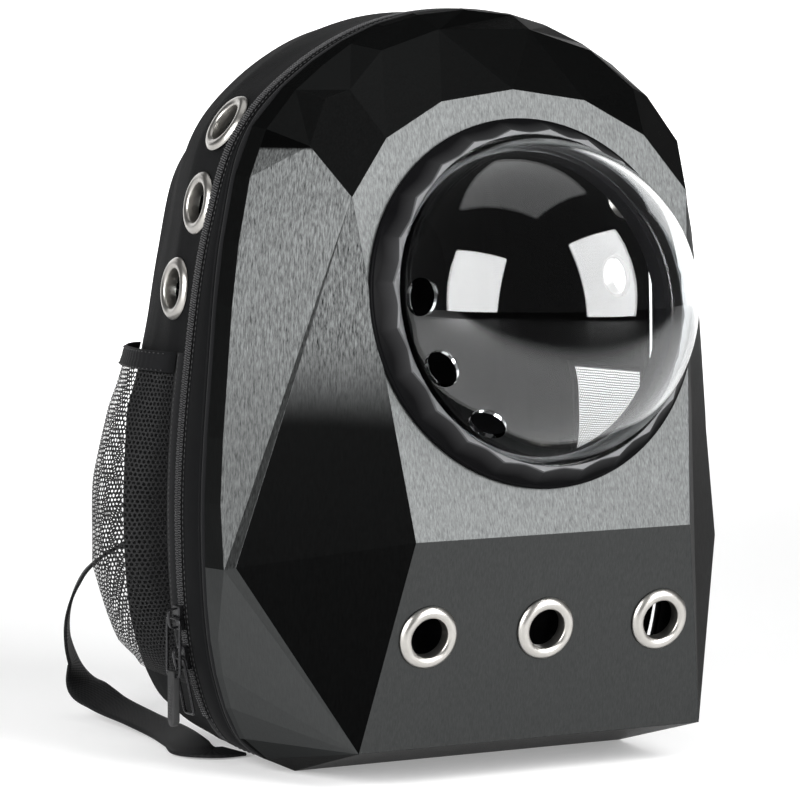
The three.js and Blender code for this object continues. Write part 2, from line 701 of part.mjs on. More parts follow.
function pocketPoint(along, z, offset) {
  const front = zipBack(z) + ZIP_WIDTH / 2 + POCKET_START;
  const back = front + POCKET_LENGTH * along;
  const up = (z - POCKET_FOOT) / (POCKET_TOP - POCKET_FOOT);
  const swell = POCKET_BULGE * fromTable(POCKET_SWELL, "up", up, "swell") * Math.sin(Math.PI * along ** 0.8) ** 0.7;
  return onSide(-1, z, back, POCKET_SEAM + Math.max(0, swell) + offset);
}

// Lines of a grid whose cords are NET_BAR of its pitch
const netLine = (k, cells) => {
  const pitch = 1 / (cells + NET_BAR);
  return pitch * ((k >> 1) + (k % 2 ? NET_BAR : 0));
};

function pocketNet() {
  const [columns, rows] = [2 * NET_COLUMNS + 1, 2 * NET_ROWS + 1];
  return sheet(
    columns,
    rows,
    (i, j, face) => {
      const z = THREE.MathUtils.lerp(POCKET_FOOT, netTop, netLine(j, NET_ROWS));
      return pocketPoint(netLine(i, NET_COLUMNS), z, face * NET_THICK);
    },
    (i, j) => i % 2 === 1 && j % 2 === 1,
  );
}

function pocketHem() {
  const columns = 14;
  return sheet(columns, 1, (i, j, face) => {
    const z = j ? POCKET_TOP : POCKET_TOP - POCKET_HEM;
    return pocketPoint(i / columns, z, face * HEM_THICK - (HEM_THICK - NET_THICK) * 0.2 * (i % columns ? 1 : 0));
  });
}

// Zip sliders and pulls, each in a frame that stands on the coil: x across the zip towards the front, y up
// along it and z out of it

const coilTop = COIL_PROUD - BAND_INSET - TAPE_DROP;
const sliderFoot = coilTop + GAP;
const pinHeight = sliderFoot + SLIDER_THICK + BRIDGE_HEIGHT * 0.32;

function zipFrame(share) {
  const p = outlinePoint(share);
  const at = rimPoint(p, 0, zipBack(p.z));
  const normal = vec(p.nx, 0, p.nz).normalize();
  const up = vec(-normal.z, 0, normal.x).negate();
  const frame = new THREE.Matrix4().makeBasis(up.clone().cross(normal), up, normal);
  return frame.setPosition(at);
}

const placed = (made, matrix) => made.transform(matrix.toArray());

function slider(share) {
  const [w, l] = [SLIDER_WIDTH / 2, SLIDER_LENGTH / 2];
  const top = sliderFoot + SLIDER_THICK;
  const post = 1.4;
  const made = block(vec(-w, -l, sliderFoot), vec(w, l, top))
    .add(block(vec(-1.6, -l * 0.8, top - 0.5), vec(1.6, l * 0.8, top + BRIDGE_HEIGHT)))
    .subtract(block(vec(-w, -l * 0.8 + post, top), vec(w, l * 0.8 - post, top + BRIDGE_HEIGHT - post)));
  return placed(made, zipFrame(share));
}

function pullFrame(share, swing) {
  const hang = new THREE.Matrix4().makeRotationX(radians(-swing)).setPosition(0, 0, pinHeight);
  return zipFrame(share).multiply(hang);
}

function pull(share, swing, leg) {
  const r = PULL_WIRE / 2;
  const low = -PULL_LENGTH;
  const corners = [vec(-leg, 0, 0), vec(leg, 0, 0), vec(leg, low, 0), vec(-leg, low, 0)];
  const reach = (from, to) => to.clone().sub(from).setLength(r * 0.7);
  const wire = corners.map((from, i) => {
    const to = corners[(i + 1) % 4];
    return rod(r, from.clone().sub(reach(from, to)), to.clone().add(reach(from, to)), 8);
  });
  return placed(wire.reduce((sum, part) => sum.add(part)), pullFrame(share, swing));
}

function pullTab(share, swing) {
  const low = -PULL_LENGTH;
  const [w, t] = [TAB_WIDTH / 2, TAB_THICK / 2];
  const end = low - TAB_LENGTH + w;
  const made = block(vec(-w, end, -t), vec(w, low + PULL_WIRE + 1, t))
    .add(rod(w, vec(0, end, -t), vec(0, end, t)))
    .subtract(rod(PULL_WIRE / 2 + GAP, vec(-w * 2, low, 0), vec(w * 2, low, 0), 12));
  return placed(made, pullFrame(share, swing));
}

// Back pad, straps, webbing and handle

const backY = RIM_Y + BAG_DEPTH;

function backPad() {
  const rows = [
    { rise: GAP, inset: 0 },
    { rise: GAP + PAD_THICK * 0.6, inset: 0 },
    { rise: GAP + PAD_THICK, inset: 5 },
  ];
  const shape = (inset) => {
    const [w, low, high, r] = [PAD_WIDTH / 2 - inset, PAD_LOW + inset, PAD_HIGH - inset, PAD_CORNER];
    const corners = [[w - r, low + r, -90], [w - r, high - r, 0], [r - w, high - r, 90], [r - w, low + r, 180]];
    return corners.flatMap(([x, z, turn]) =>
      [0, 30, 60, 90].map((step) => {
        const angle = radians(turn + step);
        return [x + r * Math.cos(angle), z + r * Math.sin(angle)];
      }),
    );
  };
  return loft(rows.map(({ rise, inset }) => shape(inset).map(([x, z]) => vec(x, backY + rise, z))));
}

// A strip of `width` by `thick` along a smooth line. Each stop has its place on the left and the direction
// of its width; side is -1 for the left and 1 for its mirror image.
function strip(side, stops, width, thick, steps, bevel = 0) {
  const line = new THREE.CatmullRomCurve3(stops.map(({ at }) => vec(...at)), false, "centripetal");
  const widths = new THREE.CatmullRomCurve3(stops.map(({ wide }) => vec(...wide)), false, "centripetal");
  const [w, t] = [width / 2, thick / 2];
  const corners = bevel
    ? [[-w, bevel - t], [bevel - w, -t], [w - bevel, -t], [w, bevel - t], [w, t - bevel], [w - bevel, t], [bevel - w, t], [-w, t - bevel]]
    : [[-w, -t], [w, -t], [w, t], [-w, t]];
  const rows = Array.from({ length: steps + 1 }, (_, i) => {
    const at = line.getPoint(i / steps);
    const tangent = line.getTangent(i / steps);
    const wide = widths.getPoint(i / steps);
    wide.addScaledVector(tangent, -wide.dot(tangent)).normalize();
    const thin = tangent.clone().cross(wide);
    return corners
      .map(([a, b]) => at.clone().addScaledVector(wide, a).addScaledVector(thin, b))
      .map((p) => p.setX(-side * p.x));
  });
  return loft(rows);
}

// Lines of the straps: places in shares of half the width, of the bag's depth behind its back wall and of the
// height, and the direction of the width
const stopsOf = (line) =>
  line.map(({ across, back, up, wide }) => ({
    at: [-across * HALF_WIDTH, backY + back * BAG_DEPTH, up * HEIGHT],
    wide,
  }));

const adjusterMiddle = { across: 0.535, back: 0.1795, up: 0.292 };
const adjusterAt = (rear, rise) => ({
  at: [-adjusterMiddle.across * HALF_WIDTH, backY + adjusterMiddle.back * BAG_DEPTH + rear, adjusterMiddle.up * HEIGHT + rise],
  wide: [1, 0, 0],
});

// Left shoulder strap from its root on the back to the adjuster
const STRAP_LINE = [
  { across: 0.3185, back: 0.0385, up: 0.7737, wide: [1, 0, 0] },
  { across: 0.3248, back: 0.0449, up: 0.7397, wide: [1, 0, 0] },
  { across: 0.3376, back: 0.109, up: 0.691, wide: [1, 0, 0] },
  { across: 0.3822, back: 0.1667, up: 0.5839, wide: [1, 0, 0.1] },
  { across: 0.4459, back: 0.1795, up: 0.4623, wide: [1, 0, 0.1] },
];

// Left webbing from the adjuster out to the side, down to the floor and in under the raised corner
const WEBBING_LINE = [
  { across: 0.5669, back: 0.2564, up: 0.2725, wide: [0.99, 0.1, 0.05] },
  { across: 0.6433, back: 0.3205, up: 0.253, wide: [0.9, 0.4, 0.1] },
  { across: 0.7452, back: 0.359, up: 0.2311, wide: [0.72, 0.65, 0.15] },
  { across: 0.8089, back: 0.4167, up: 0.1995, wide: [0.5, 0.85, 0.12] },
  { across: 0.8471, back: 0.4551, up: 0.1533, wide: [0.48, 0.87, 0.1] },
  { across: 0.8599, back: 0.4423, up: 0.1095, wide: [0.48, 0.87, 0.15] },
  { across: 0.8344, back: 0.4423, up: 0.0754, wide: [0.46, 0.8, 0.3] },
  { across: 0.8153, back: 0.391, up: 0.0462, wide: [0.62, 0.6, 0.4] },
  { across: 0.7898, back: 0.2564, up: 0.028, wide: [0.9, 0.2, 0.15] },
  { across: 0.7516, back: 0.0385, up: 0.0146, wide: [1, 0, 0.05] },
  { across: 0.7389, back: -0.1667, up: 0.0078, wide: [1, 0, 0.08] },
  { across: 0.7771, back: -0.391, up: 0.0058, wide: [0.99, 0.1, 0.05] },
  { across: 0.8153, back: -0.5385, up: 0.0054, wide: [0.9, 0.35, 0.05] },
  { across: 0.7771, back: -0.6026, up: 0.0046, wide: [0.4, 0.9, 0] },
  { across: 0.6879, back: -0.5962, up: 0.0036, wide: [0, 1, 0] },
];

// Handle across the top of the back; its ends lie on the bag
const HANDLE_LINE = [
  { across: 0.293, back: 0.0013, wide: [0, 0, 1] },
  { across: 0.2293, back: 0.0026, wide: [0, 0, 1] },
  { across: 0.1401, back: 0.068, wide: [0, 0, 1] },
  { across: 0, back: 0.1064, wide: [0, 0, 1] },
];

const strapStops = () => {
  const end = ADJUSTER.height / 2 + 1;
  return [...stopsOf(STRAP_LINE), adjusterAt(0, end + 13), adjusterAt(0, end)];
};
const webbingStops = () => {
  const slot = -(ADJUSTER.slot + ADJUSTER.bar) / 2;
  return [adjusterAt(-ADJUSTER.thick, slot), adjusterAt(0.6 * ADJUSTER.thick, slot), ...stopsOf(WEBBING_LINE)];
};
const handleStops = () => {
  const left = HANDLE_LINE.map(({ across, back, wide }) => ({
    at: [-across * HALF_WIDTH, backY + back * BAG_DEPTH + WEBBING_THICK / 2 + GAP, HANDLE_UP * HEIGHT],
    wide,
  }));
  const right = left.slice(0, -1).reverse();
  return [...left, ...right.map(({ at: [x, y, z], wide }) => ({ at: [-x, y, z], wide }))];
};

const strap = (side) => strip(side, strapStops(), STRAP_WIDTH, STRAP_THICK, 14, 3);
const webbing = (side) => strip(side, webbingStops(), WEBBING_WIDTH, WEBBING_THICK, 36);
const handle = () => strip(-1, handleStops(), HANDLE_WIDTH, WEBBING_THICK, 16);

function adjuster(side) {
  const { width, height, thick, slot, bar } = ADJUSTER;
  const middle = vec(...adjusterAt(0, 0).at).setX(side * adjusterMiddle.across * HALF_WIDTH);
  const [w, t, h] = [width / 2, thick / 2, height / 2];
  let made = block(vec(-w, -t, -h), vec(w, t, h));
  for (const z of [-1, 1]) {
    const centre = (z * (slot + bar)) / 2;
    made = made.subtract(block(vec(bar - w, -thick, centre - slot / 2), vec(w - bar, thick, centre + slot / 2)));
  }
  return made.translate(middle.toArray());
}

// The pack

const pack = new THREE.Group();
const add = (name, made, material, group = pack) => group.add(mesh(name, made, material));

add("front_shell", frontShell(), SHELL);
add("bubble_ring", bezel(), GLOSS_BLACK);
add("bubble_dome", bubble(), CLEAR);
["left", "middle", "right"].forEach((name, i) => {
  add(`front_vent_${name}`, eyelet(frontEyelets[i], lowerNormal), NICKEL);
});
for (const side of [-1, 1]) {
  SIDE_EYELETS.forEach((place, i) => {
    const { centre, axis } = sideEyelet(side, place);
    add(`side_vent_${side < 0 ? "left" : "right"}_${i + 1}`, eyelet(centre, axis), NICKEL);
  });
}
add("piping", bead(), FABRIC);
add("door_band", doorBand(), FABRIC);
add("zipper", zip(), RUBBER);
add("door_hinge_cloth", doorHinge(), FABRIC);
add("bag_body", bagBody(), FABRIC);
add("side_window_mesh", windowSheet(WINDOW_THICK, 0), NET);
add("pocket_net", pocketNet(), NET);
add("pocket_hem", pocketHem(), FABRIC);
add("zip_slider_upper", slider(UPPER_SLIDER), BLACK_METAL);
add("zip_slider_lower", slider(LOWER_SLIDER), BLACK_METAL);
add("zip_pull_upper", pull(UPPER_SLIDER, UPPER_SWING, UPPER_LEG), BLACK_METAL);
add("zip_pull_lower", pull(LOWER_SLIDER, LOWER_SWING, LOWER_LEG), BLACK_METAL);
add("pull_tab", pullTab(UPPER_SLIDER, UPPER_SWING), RUBBER);
add("back_pad", backPad(), FABRIC);
for (const side of [-1, 1]) {
  const name = side < 0 ? "left" : "right";
  add(`shoulder_strap_${name}`, strap(side), FABRIC);
  add(`strap_adjuster_${name}`, adjuster(side), GLOSS_BLACK);
  add(`strap_webbing_${name}`, webbing(side), FABRIC);
}
add("grab_handle", handle(), FABRIC);

export default pack;
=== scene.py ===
"""A bubble pet carrier backpack: brushed faceted front, fluted bezel, clear bubble, zipped cloth bag."""

import math

import bmesh
import bpy
import numpy as np
from mathutils import Matrix, Vector, noise


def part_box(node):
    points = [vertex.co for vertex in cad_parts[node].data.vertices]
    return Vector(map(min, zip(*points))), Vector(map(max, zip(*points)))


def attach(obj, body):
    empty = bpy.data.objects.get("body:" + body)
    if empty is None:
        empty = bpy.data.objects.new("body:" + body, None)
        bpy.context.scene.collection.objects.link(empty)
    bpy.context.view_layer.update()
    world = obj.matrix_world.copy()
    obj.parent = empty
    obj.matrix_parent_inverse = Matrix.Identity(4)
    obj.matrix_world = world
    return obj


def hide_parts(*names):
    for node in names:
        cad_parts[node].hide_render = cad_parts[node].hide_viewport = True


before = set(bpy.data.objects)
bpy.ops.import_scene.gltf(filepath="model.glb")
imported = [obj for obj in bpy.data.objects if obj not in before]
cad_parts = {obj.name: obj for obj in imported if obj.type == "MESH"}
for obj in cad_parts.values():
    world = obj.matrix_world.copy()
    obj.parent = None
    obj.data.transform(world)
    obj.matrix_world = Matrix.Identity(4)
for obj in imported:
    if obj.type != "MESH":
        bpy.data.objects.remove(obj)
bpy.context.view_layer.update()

MM = 0.001
PACK = "pack"

# Sizes of the pack in millimetres, the same as the solids'
HALF_WIDTH, HEIGHT = 157.0, 411.0
RIM_Y, BAG_DEPTH = -60.0, 156.0
SHELL_DEPTH, FOLD_Z, UPPER_LEAN, LOWER_LEAN = 101.0, 133.5, 11.0, 11.5
BEZEL_Z, BEZEL_WIDTH, BEZEL_HEIGHT, FLUTES = 254.3, 11.2, 14.4, 24
BUBBLE_R, BUBBLE_WALL, BUBBLE_SEAT = 88.0, 3.0, 4.0
VENT_R, VENT_RISE, VENT_ANGLES = 10.0, 17.5, (178.5, 205.5, 232.5)
BEAD_R = 3.3
ZIP_WIDTH, TAPE_HALF, CLOTH_GAP = 7.0, 3.45, 3.85


def unit(v):
    return v / np.maximum(np.linalg.norm(v, axis=-1, keepdims=True), 1e-12)


def lengths(path):
    """The length along a path up to each of its points."""
    return np.concatenate([[0], np.cumsum(np.linalg.norm(np.diff(path, axis=0), axis=1))])


def resampled(at, along, rows):
    return np.stack([np.interp(at, along, rows[:, k]) for k in range(rows.shape[1])], axis=1)


def spline(points, count):
    """Points at equal steps of length along a centripetal Catmull-Rom line."""
    p = np.array(points, float)
    p = np.vstack([2 * p[0] - p[1], p, 2 * p[-1] - p[-2]])
    fine = []
    for i in range(1, len(p) - 2):
        p0, p1, p2, p3 = p[i - 1 : i + 3]
        d0, d1, d2 = (max(np.linalg.norm(b - a), 1e-4) ** 0.5 for a, b in ((p0, p1), (p1, p2), (p2, p3)))
        m1 = d1 * ((p1 - p0) / d0 - (p2 - p0) / (d0 + d1) + (p2 - p1) / d1)
        m2 = d1 * ((p2 - p1) / d1 - (p3 - p1) / (d1 + d2) + (p3 - p2) / d2)
        t = np.linspace(0, 1, 60, endpoint=False)[:, None]
        fine.append(p1 + m1 * t + (3 * (p2 - p1) - 2 * m1 - m2) * t**2 + (2 * (p1 - p2) + m1 + m2) * t**3)
    fine = np.vstack([*fine, p[-2:-1]])
    along = lengths(fine)
    at = np.linspace(0, along[-1], count) if np.isscalar(count) else np.asarray(count) * along[-1]
    return resampled(at, along, fine)


# The rim's outline as rows of x, z and the outward normal's x, z
KNOTS = [(0.66, 0), (0.847, 0.039), (0.955, 0.134), (1, 0.316), (0.968, 0.543),
         (0.917, 0.715), (0.822, 0.842), (0.605, 0.9246), (0.318, 0.981), (0, 1)]
LEFT = [(-a * HALF_WIDTH, u * HEIGHT) for a, u in KNOTS]
RIM = LEFT + [(-x, z) for x, z in LEFT[-2::-1]]


def outline(shares):
    """Rows of x, z, normal x, normal z at shares of the arch's length from the left foot."""
    shares = np.asarray(shares, float)
    p = spline(RIM, shares)
    ahead = spline(RIM, np.clip(shares + 0.002, 0, 1))
    behind = spline(RIM, np.clip(shares - 0.002, 0, 1))
    t = unit(ahead - behind)
    return np.column_stack([p, -t[:, 1], t[:, 0]])


def arch_and_floor(arch=240, floor=24):
    """The closed outline: over the arch from the left foot, then back along the floor."""
    upper = outline(np.linspace(0, 1, arch + 1))
    upper[0, 2:] = upper[-1, 2:] = (0, -1)
    x = np.linspace(upper[-1, 0], upper[0, 0], floor + 1)[1:-1]
    base = np.column_stack([x, np.zeros_like(x), np.zeros_like(x), -np.ones_like(x)])
    return np.vstack([upper, base])


def zip_back(z):
    rise = np.clip((np.asarray(z) - 170) / 180, 0, 1)
    return 33 - 18 * rise**1.8


SECTIONS = np.array([
    [0, 0.007, 0, 0, 0.003],
    [0.42, 0.03, 0.011, 0, 0.003],
    [0.65, 0.052, 0.062, 0, 0.016],
    [0.81, 0.074, 0.095, 0.013, 0.058],
    [0.92, 0.14, 0.063, 0.032, 0.076],
    [0.985, 0.242, 0.02, 0.073, 0.107],
    [1, 0.33, 0, 0.11, 0.15],
])


def bag_point(rim, back, offset=0.0):
    """Places on the bag for outline rows at distances behind the rim plane."""
    rim = np.atleast_2d(rim)
    back = np.broadcast_to(np.asarray(back, float), rim.shape[:1])
    share = back / BAG_DEPTH
    inset, shoulder, lift, drop = (np.interp(share, SECTIONS[:, 0], SECTIONS[:, k]) for k in (1, 2, 3, 4))
    bell = np.clip(1 - ((rim[:, 1] / HEIGHT - 0.78) / 0.3) ** 2, 0, 1)
    x = rim[:, 0] * (1 - inset - shoulder * bell)
    side = np.clip((abs(x) / HALF_WIDTH - 0.44) / 0.56, 0, None)
    corner = 17 * side**2 * np.clip(1 - rim[:, 1] / 80, 0, 1) * np.minimum(1, share / 0.42)
    z = HEIGHT * lift + rim[:, 1] * (1 - lift - drop) + corner
    return np.column_stack([x + rim[:, 2] * offset, RIM_Y + back, z + rim[:, 3] * offset])


HALF = outline(np.linspace(0, 0.5, 1200))


def on_side(side, z, back, offset=0.0):
    """The place on the bag's side at a height and a distance behind the rim plane."""
    z, back = np.broadcast_arrays(np.asarray(z, float), np.asarray(back, float))
    out = []
    for one_z, one_back in zip(z.ravel(), back.ravel()):
        line = bag_point(HALF, one_back)
        k = np.interp(one_z, line[:, 2], np.arange(len(HALF)))
        rim = np.array([np.interp(k, np.arange(len(HALF)), HALF[:, c]) for c in range(4)])
        p = bag_point(rim, one_back, offset)[0]
        out.append((p[0] * -side, p[1], p[2]))
    return np.array(out).reshape(z.shape + (3,))


def side_normal(side, z, back):
    up = on_side(side, z + 4, back) - on_side(side, z - 4, back)
    rear = on_side(side, z, back + 4) - on_side(side, z, back - 4)
    return unit(np.cross(up, rear) * -side)


# Making meshes


def linked(name, data):
    obj = bpy.data.objects.new(name, data)
    bpy.context.collection.objects.link(obj)
    return obj


def piece(name, verts, faces, materials, uv=None, smooth=True, attributes=None, body=PACK, index=None):
    """A mesh object from points in millimetres that rides on a body of the pack."""
    mesh = bpy.data.meshes.new(name)
    mesh.from_pydata((np.asarray(verts, float) * MM).tolist(), [], [tuple(map(int, f)) for f in faces])
    for material in materials if isinstance(materials, (list, tuple)) else [materials]:
        mesh.materials.append(material)
    if index is not None:
        mesh.polygons.foreach_set("material_index", np.asarray(index, np.int32))
    if uv is not None:
        layer = mesh.uv_layers.new(name="UVMap")
        loops = np.empty(len(mesh.loops), np.int32)
        mesh.loops.foreach_get("vertex_index", loops)
        layer.data.foreach_set("uv", (np.asarray(uv, float)[loops] * MM).ravel())
    for key, values in (attributes or {}).items():
        mesh.attributes.new(key, "FLOAT", "POINT").data.foreach_set("value", np.asarray(values, np.float32))
    mesh.polygons.foreach_set("use_smooth", [smooth] * len(mesh.polygons))
    mesh.validate()
    mesh.update()
    obj = linked(name, mesh)
    if body:
        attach(obj, body)
    return obj


def grid_faces(rows, columns, loop_rows=False, loop_columns=False, start=0):
    down = np.arange(rows if loop_rows else rows - 1)
    across = np.arange(columns if loop_columns else columns - 1)
    r, c = np.meshgrid(down, across, indexing="ij")
    a = start + r * columns + c
    b = start + r * columns + (c + 1) % columns
    d = start + (r + 1) % rows * columns + c
    e = start + (r + 1) % rows * columns + (c + 1) % columns
    return np.stack([a, b, e, d], axis=-1).reshape(-1, 4)


def swept(name, rows, material, closed=False, caps=True, body=PACK, smooth=True, sharp=None):
    """A solid through rows of section points; u of its map runs round the section and v along it."""
    rows = np.asarray(rows, float)
    count, ring = rows.shape[:2]
    verts = rows.reshape(-1, 3)
    faces = grid_faces(count, ring, closed, True).tolist()
    if caps and not closed:
        faces += [list(range(ring))[::-1], list(range((count - 1) * ring, count * ring))]
    around = lengths(rows[0])
    middle = rows.mean(axis=1)
    along = lengths(middle)
    uv = np.stack(np.broadcast_arrays(around[None, :], along[:, None]), axis=-1).reshape(-1, 2)
    obj = piece(name, verts, faces, material, uv, smooth, body=body)
    outwards(obj)
    if sharp:
        obj.data.set_sharp_from_angle(angle=math.radians(sharp))
    return obj


def smoothed(mesh):
    mesh.polygons.foreach_set("use_smooth", [True] * len(mesh.polygons))


def outwards(obj):
    bm = bmesh.new()
    bm.from_mesh(obj.data)
    bmesh.ops.recalc_face_normals(bm, faces=bm.faces)
    bm.to_mesh(obj.data)
    bm.free()
    return obj


def apply_modifiers(obj):
    """The evaluated shape as the object's own plain mesh."""
    depsgraph = bpy.context.evaluated_depsgraph_get()
    made = bpy.data.meshes.new_from_object(obj.evaluated_get(depsgraph), depsgraph=depsgraph)
    made.name = obj.name
    old = obj.data
    obj.modifiers.clear()
    obj.data = made
    bpy.data.meshes.remove(old)
    return obj


def cut(obj, cutters):
    """The piece less the cutters, which are then gone."""
    for cutter in cutters:
        modifier = obj.modifiers.new("Cut", "BOOLEAN")
        modifier.operation, modifier.solver, modifier.object = "DIFFERENCE", "EXACT", cutter
        bpy.context.view_layer.update()
        apply_modifiers(obj)
        bpy.data.objects.remove(cutter)
    return obj


def frame_of(axis, up=(0.0, 0.0, 1.0)):
    """Three unit vectors: across, up and along an axis."""
    n = unit(np.asarray(axis, float))
    x = np.cross(up, n)
    x = unit(x) if np.linalg.norm(x) > 1e-6 else np.array([1.0, 0, 0])
    return x, np.cross(n, x), n


def turned_points(profile, segments, centre, axis):
    x, y, n = frame_of(axis)
    angle = np.linspace(0, 2 * np.pi, segments, endpoint=False)
    r, h = np.array(profile, float).T
    ring = np.cos(angle)[:, None, None] * x + np.sin(angle)[:, None, None] * y
    return np.asarray(centre) + ring * r[None, :, None] + h[None, :, None] * n


def turned(name, profile, segments, centre, axis, material, body=PACK, sharp=40):
    """A ring from a closed profile of radius and height."""
    rows = turned_points(profile, segments, centre, axis)
    return swept(name, rows, material, closed=True, body=body, sharp=sharp)


def rod_object(radius, start, end, segments=48):
    start, end = np.asarray(start, float), np.asarray(end, float)
    length = np.linalg.norm(end - start)
    rows = turned_points([(radius, 0), (radius, length)], segments, start, end - start)
    faces = grid_faces(segments, 2, True, False).tolist()
    faces += [[2 * k for k in range(segments)], [2 * k + 1 for k in range(segments)][::-1]]
    mesh = bpy.data.meshes.new("cutter")
    mesh.from_pydata((rows.reshape(-1, 3) * MM).tolist(), [], faces)
    obj = linked("cutter", mesh)
    return outwards(obj)


def strip_rows(stops, width, thick, count, round_edge=0.3, side=-1, crown=0.0):
    """Rows of a strap's section along stops of place and width direction."""
    at = spline([s[0] for s in stops], count)
    along = spline([s[0] for s in stops], 400)
    wide = np.array([s[1] for s in stops], float)
    marks = np.array([np.argmin(np.linalg.norm(along - np.array(s[0]), axis=1)) for s in stops]) / 399
    share = np.linspace(0, 1, count)
    wide = resampled(share, marks, wide)
    for _ in range(3):
        wide[1:-1] = (wide[:-2] + 2 * wide[1:-1] + wide[2:]) / 4
    t = unit(np.gradient(at, axis=0))
    wide = unit(wide - (wide * t).sum(axis=1, keepdims=True) * t)
    thin = np.cross(t, wide)
    w, h, e = width / 2, thick / 2, round_edge
    u = np.linspace(-1, 1, 9)
    top = [(k * (w - e), h + crown * (1 - k * k)) for k in u]
    low = [(k * (w - e), -h - crown * (1 - k * k)) for k in u[::-1]]
    section = top + [(w - e * 0.3, h * 0.6), (w, 0), (w - e * 0.3, -h * 0.6)] + low
    section += [(e * 0.3 - w, -h * 0.6), (-w, 0), (e * 0.3 - w, h * 0.6)]
    a, b = np.array(section).T
    rows = at[:, None] + a[None, :, None] * wide[:, None] + b[None, :, None] * thin[:, None]
    rows[..., 0] *= -side
    return rows


# Shader maths as expressions


class Value:
    """A socket of a material's tree that Python's operators work on."""

    def __init__(self, tree, socket):
        self.tree, self.socket = tree, socket

    def _with(self, operation, *values):
        node = self.tree.nodes.new("ShaderNodeMath")
        node.operation = operation
        for k, value in enumerate(values):
            self.tree.put(node.inputs[k], value)
        return Value(self.tree, node.outputs[0])

    def __add__(self, other):
        return self._with("ADD", self, other)

    def __sub__(self, other):
        return self._with("SUBTRACT", self, other)

    def __rsub__(self, other):
        return self._with("SUBTRACT", other, self)

    def __mul__(self, other):
        return self._with("MULTIPLY", self, other)

    def __truediv__(self, other):
        return self._with("DIVIDE", self, other)

    def __abs__(self):
        return self._with("ABSOLUTE", self)

    __radd__, __rmul__ = __add__, __mul__

    def do(self, operation, *others):
        return self._with(operation, self, *others)

    def smooth(self, low, high):
        """0 below low and 1 above high, or the other way round where low is the larger."""
        node = self.tree.nodes.new("ShaderNodeMapRange")
        node.interpolation_type = "SMOOTHSTEP"
        self.tree.put(node.inputs[0], self)
        falls = float(low > high)
        for k, value in enumerate((min(low, high), max(low, high), falls, 1.0 - falls), 1):
            node.inputs[k].default_value = value
        return Value(self.tree, node.outputs[0])


class Shader:
    """A material's tree, its Principled shader and short ways to add to them."""

    def __init__(self, name):
        self.material = bpy.data.materials.new(name)
        self.material.use_nodes = True
        self.nodes, self.links = self.material.node_tree.nodes, self.material.node_tree.links
        self.bsdf = self.nodes["Principled BSDF"]

    def put(self, socket, value):
        if isinstance(value, Value):
            self.links.new(value.socket, socket)
        else:
            socket.default_value = value

    def node(self, kind, settings=None, output=0, **sockets):
        node = self.nodes.new(kind)
        for key, value in (settings or {}).items():
            setattr(node, key, value)
        for key, value in sockets.items():
            name = key.replace("_", " ")
            self.put(node.inputs[int(key[1:]) if key[1:].isdigit() else name], value)
        return Value(self, node.outputs[output])

    def place(self, kind="Object"):
        return self.node("ShaderNodeTexCoord", output={"Object": 3, "UV": 2}[kind])

    def axes(self, vector):
        node = self.nodes.new("ShaderNodeSeparateXYZ")
        self.put(node.inputs[0], vector)
        return [Value(self, o) for o in node.outputs]

    def scaled(self, vector, scale):
        return self.node("ShaderNodeVectorMath", {"operation": "MULTIPLY"}, i0=vector, i1=scale)

    def noise(self, vector, scale, detail=3.0, roughness=0.5):
        return self.node("ShaderNodeTexNoise", Vector=vector, Scale=scale, Detail=detail, Roughness=roughness)

    def attribute(self, name):
        return self.node("ShaderNodeAttribute", {"attribute_name": name}, output=2)

    def mix(self, factor, a, b):
        node = self.nodes.new("ShaderNodeMix")
        node.data_type = "RGBA"
        self.put(node.inputs[0], factor)
        self.put(node.inputs[6], a if isinstance(a, Value) else (*a, 1))
        self.put(node.inputs[7], b if isinstance(b, Value) else (*b, 1))
        return Value(self, node.outputs[2])

    def bump(self, height, strength=0.5, distance=0.0005, normal=None):
        node = self.nodes.new("ShaderNodeBump")
        self.put(node.inputs["Height"], height)
        node.inputs["Strength"].default_value = strength
        node.inputs["Distance"].default_value = distance
        if normal is not None:
            self.put(node.inputs["Normal"], normal)
        return Value(self, node.outputs[0])

    def finish(self, **sockets):
        for key, value in sockets.items():
            socket = self.bsdf.inputs[key.replace("_", " ")]
            if isinstance(value, tuple) and len(value) == 3 and socket.type == "RGBA":
                value = (*value, 1)
            self.put(socket, value)
        return self.material


def grey(value):
    return (value, value, value)


def brushed_film():
    """Dark metallic film brushed up and down, lighter on some facets than on others, with painted light
    towards the top of the fading side facets.
    """
    s = Shader("brushed_film")
    place = s.place()
    z = s.axes(place)[2]
    tone, brushed, fade = s.attribute("tone"), s.attribute("brushed"), s.attribute("fade")
    streaks = s.noise(s.scaled(place, (1200, 1200, 210)), 1.0, 4.0, 0.62)
    flecks = s.noise(s.scaled(place, (700, 700, 200)), 1.0, 2.0, 0.6)
    broad = s.noise(place, 9.0, 2.0)
    # painted light: the fading side facets are painted lighter upwards from about 0.19 m to 0.245 m, and
    # their brushing shows more there
    painted_light = (z + (broad - 0.5) * 0.03).smooth(0.19, 0.245)
    below = 1 - z.smooth(0.3355, 0.3375) * fade.smooth(0.01, 0.05)
    amount = brushed + fade * painted_light
    grain = (streaks - 0.5) * 1.25 + (flecks - 0.5) * 0.55
    # the painted light raises the tone of the fading side facets up to the black line at 0.337 m
    light = (tone + fade * painted_light * 0.062) * below
    value = light * (1 + grain * amount * 2.6 + (streaks - 0.5) * 0.3)
    value = value.do("MAXIMUM", 0.0012)
    tint = s.mix(value, (0, 0, 0), (0.965, 1.0, 1.0))
    rough = 0.34 + amount * 0.16 + (streaks - 0.5) * 0.2
    return s.finish(Base_Color=tint, Roughness=rough, Metallic=0.94, Specular_IOR_Level=0.1,
                    Specular_Tint=grey(0.35),
                    Normal=s.bump(streaks + flecks * 0.4, 0.28, 0.0002))


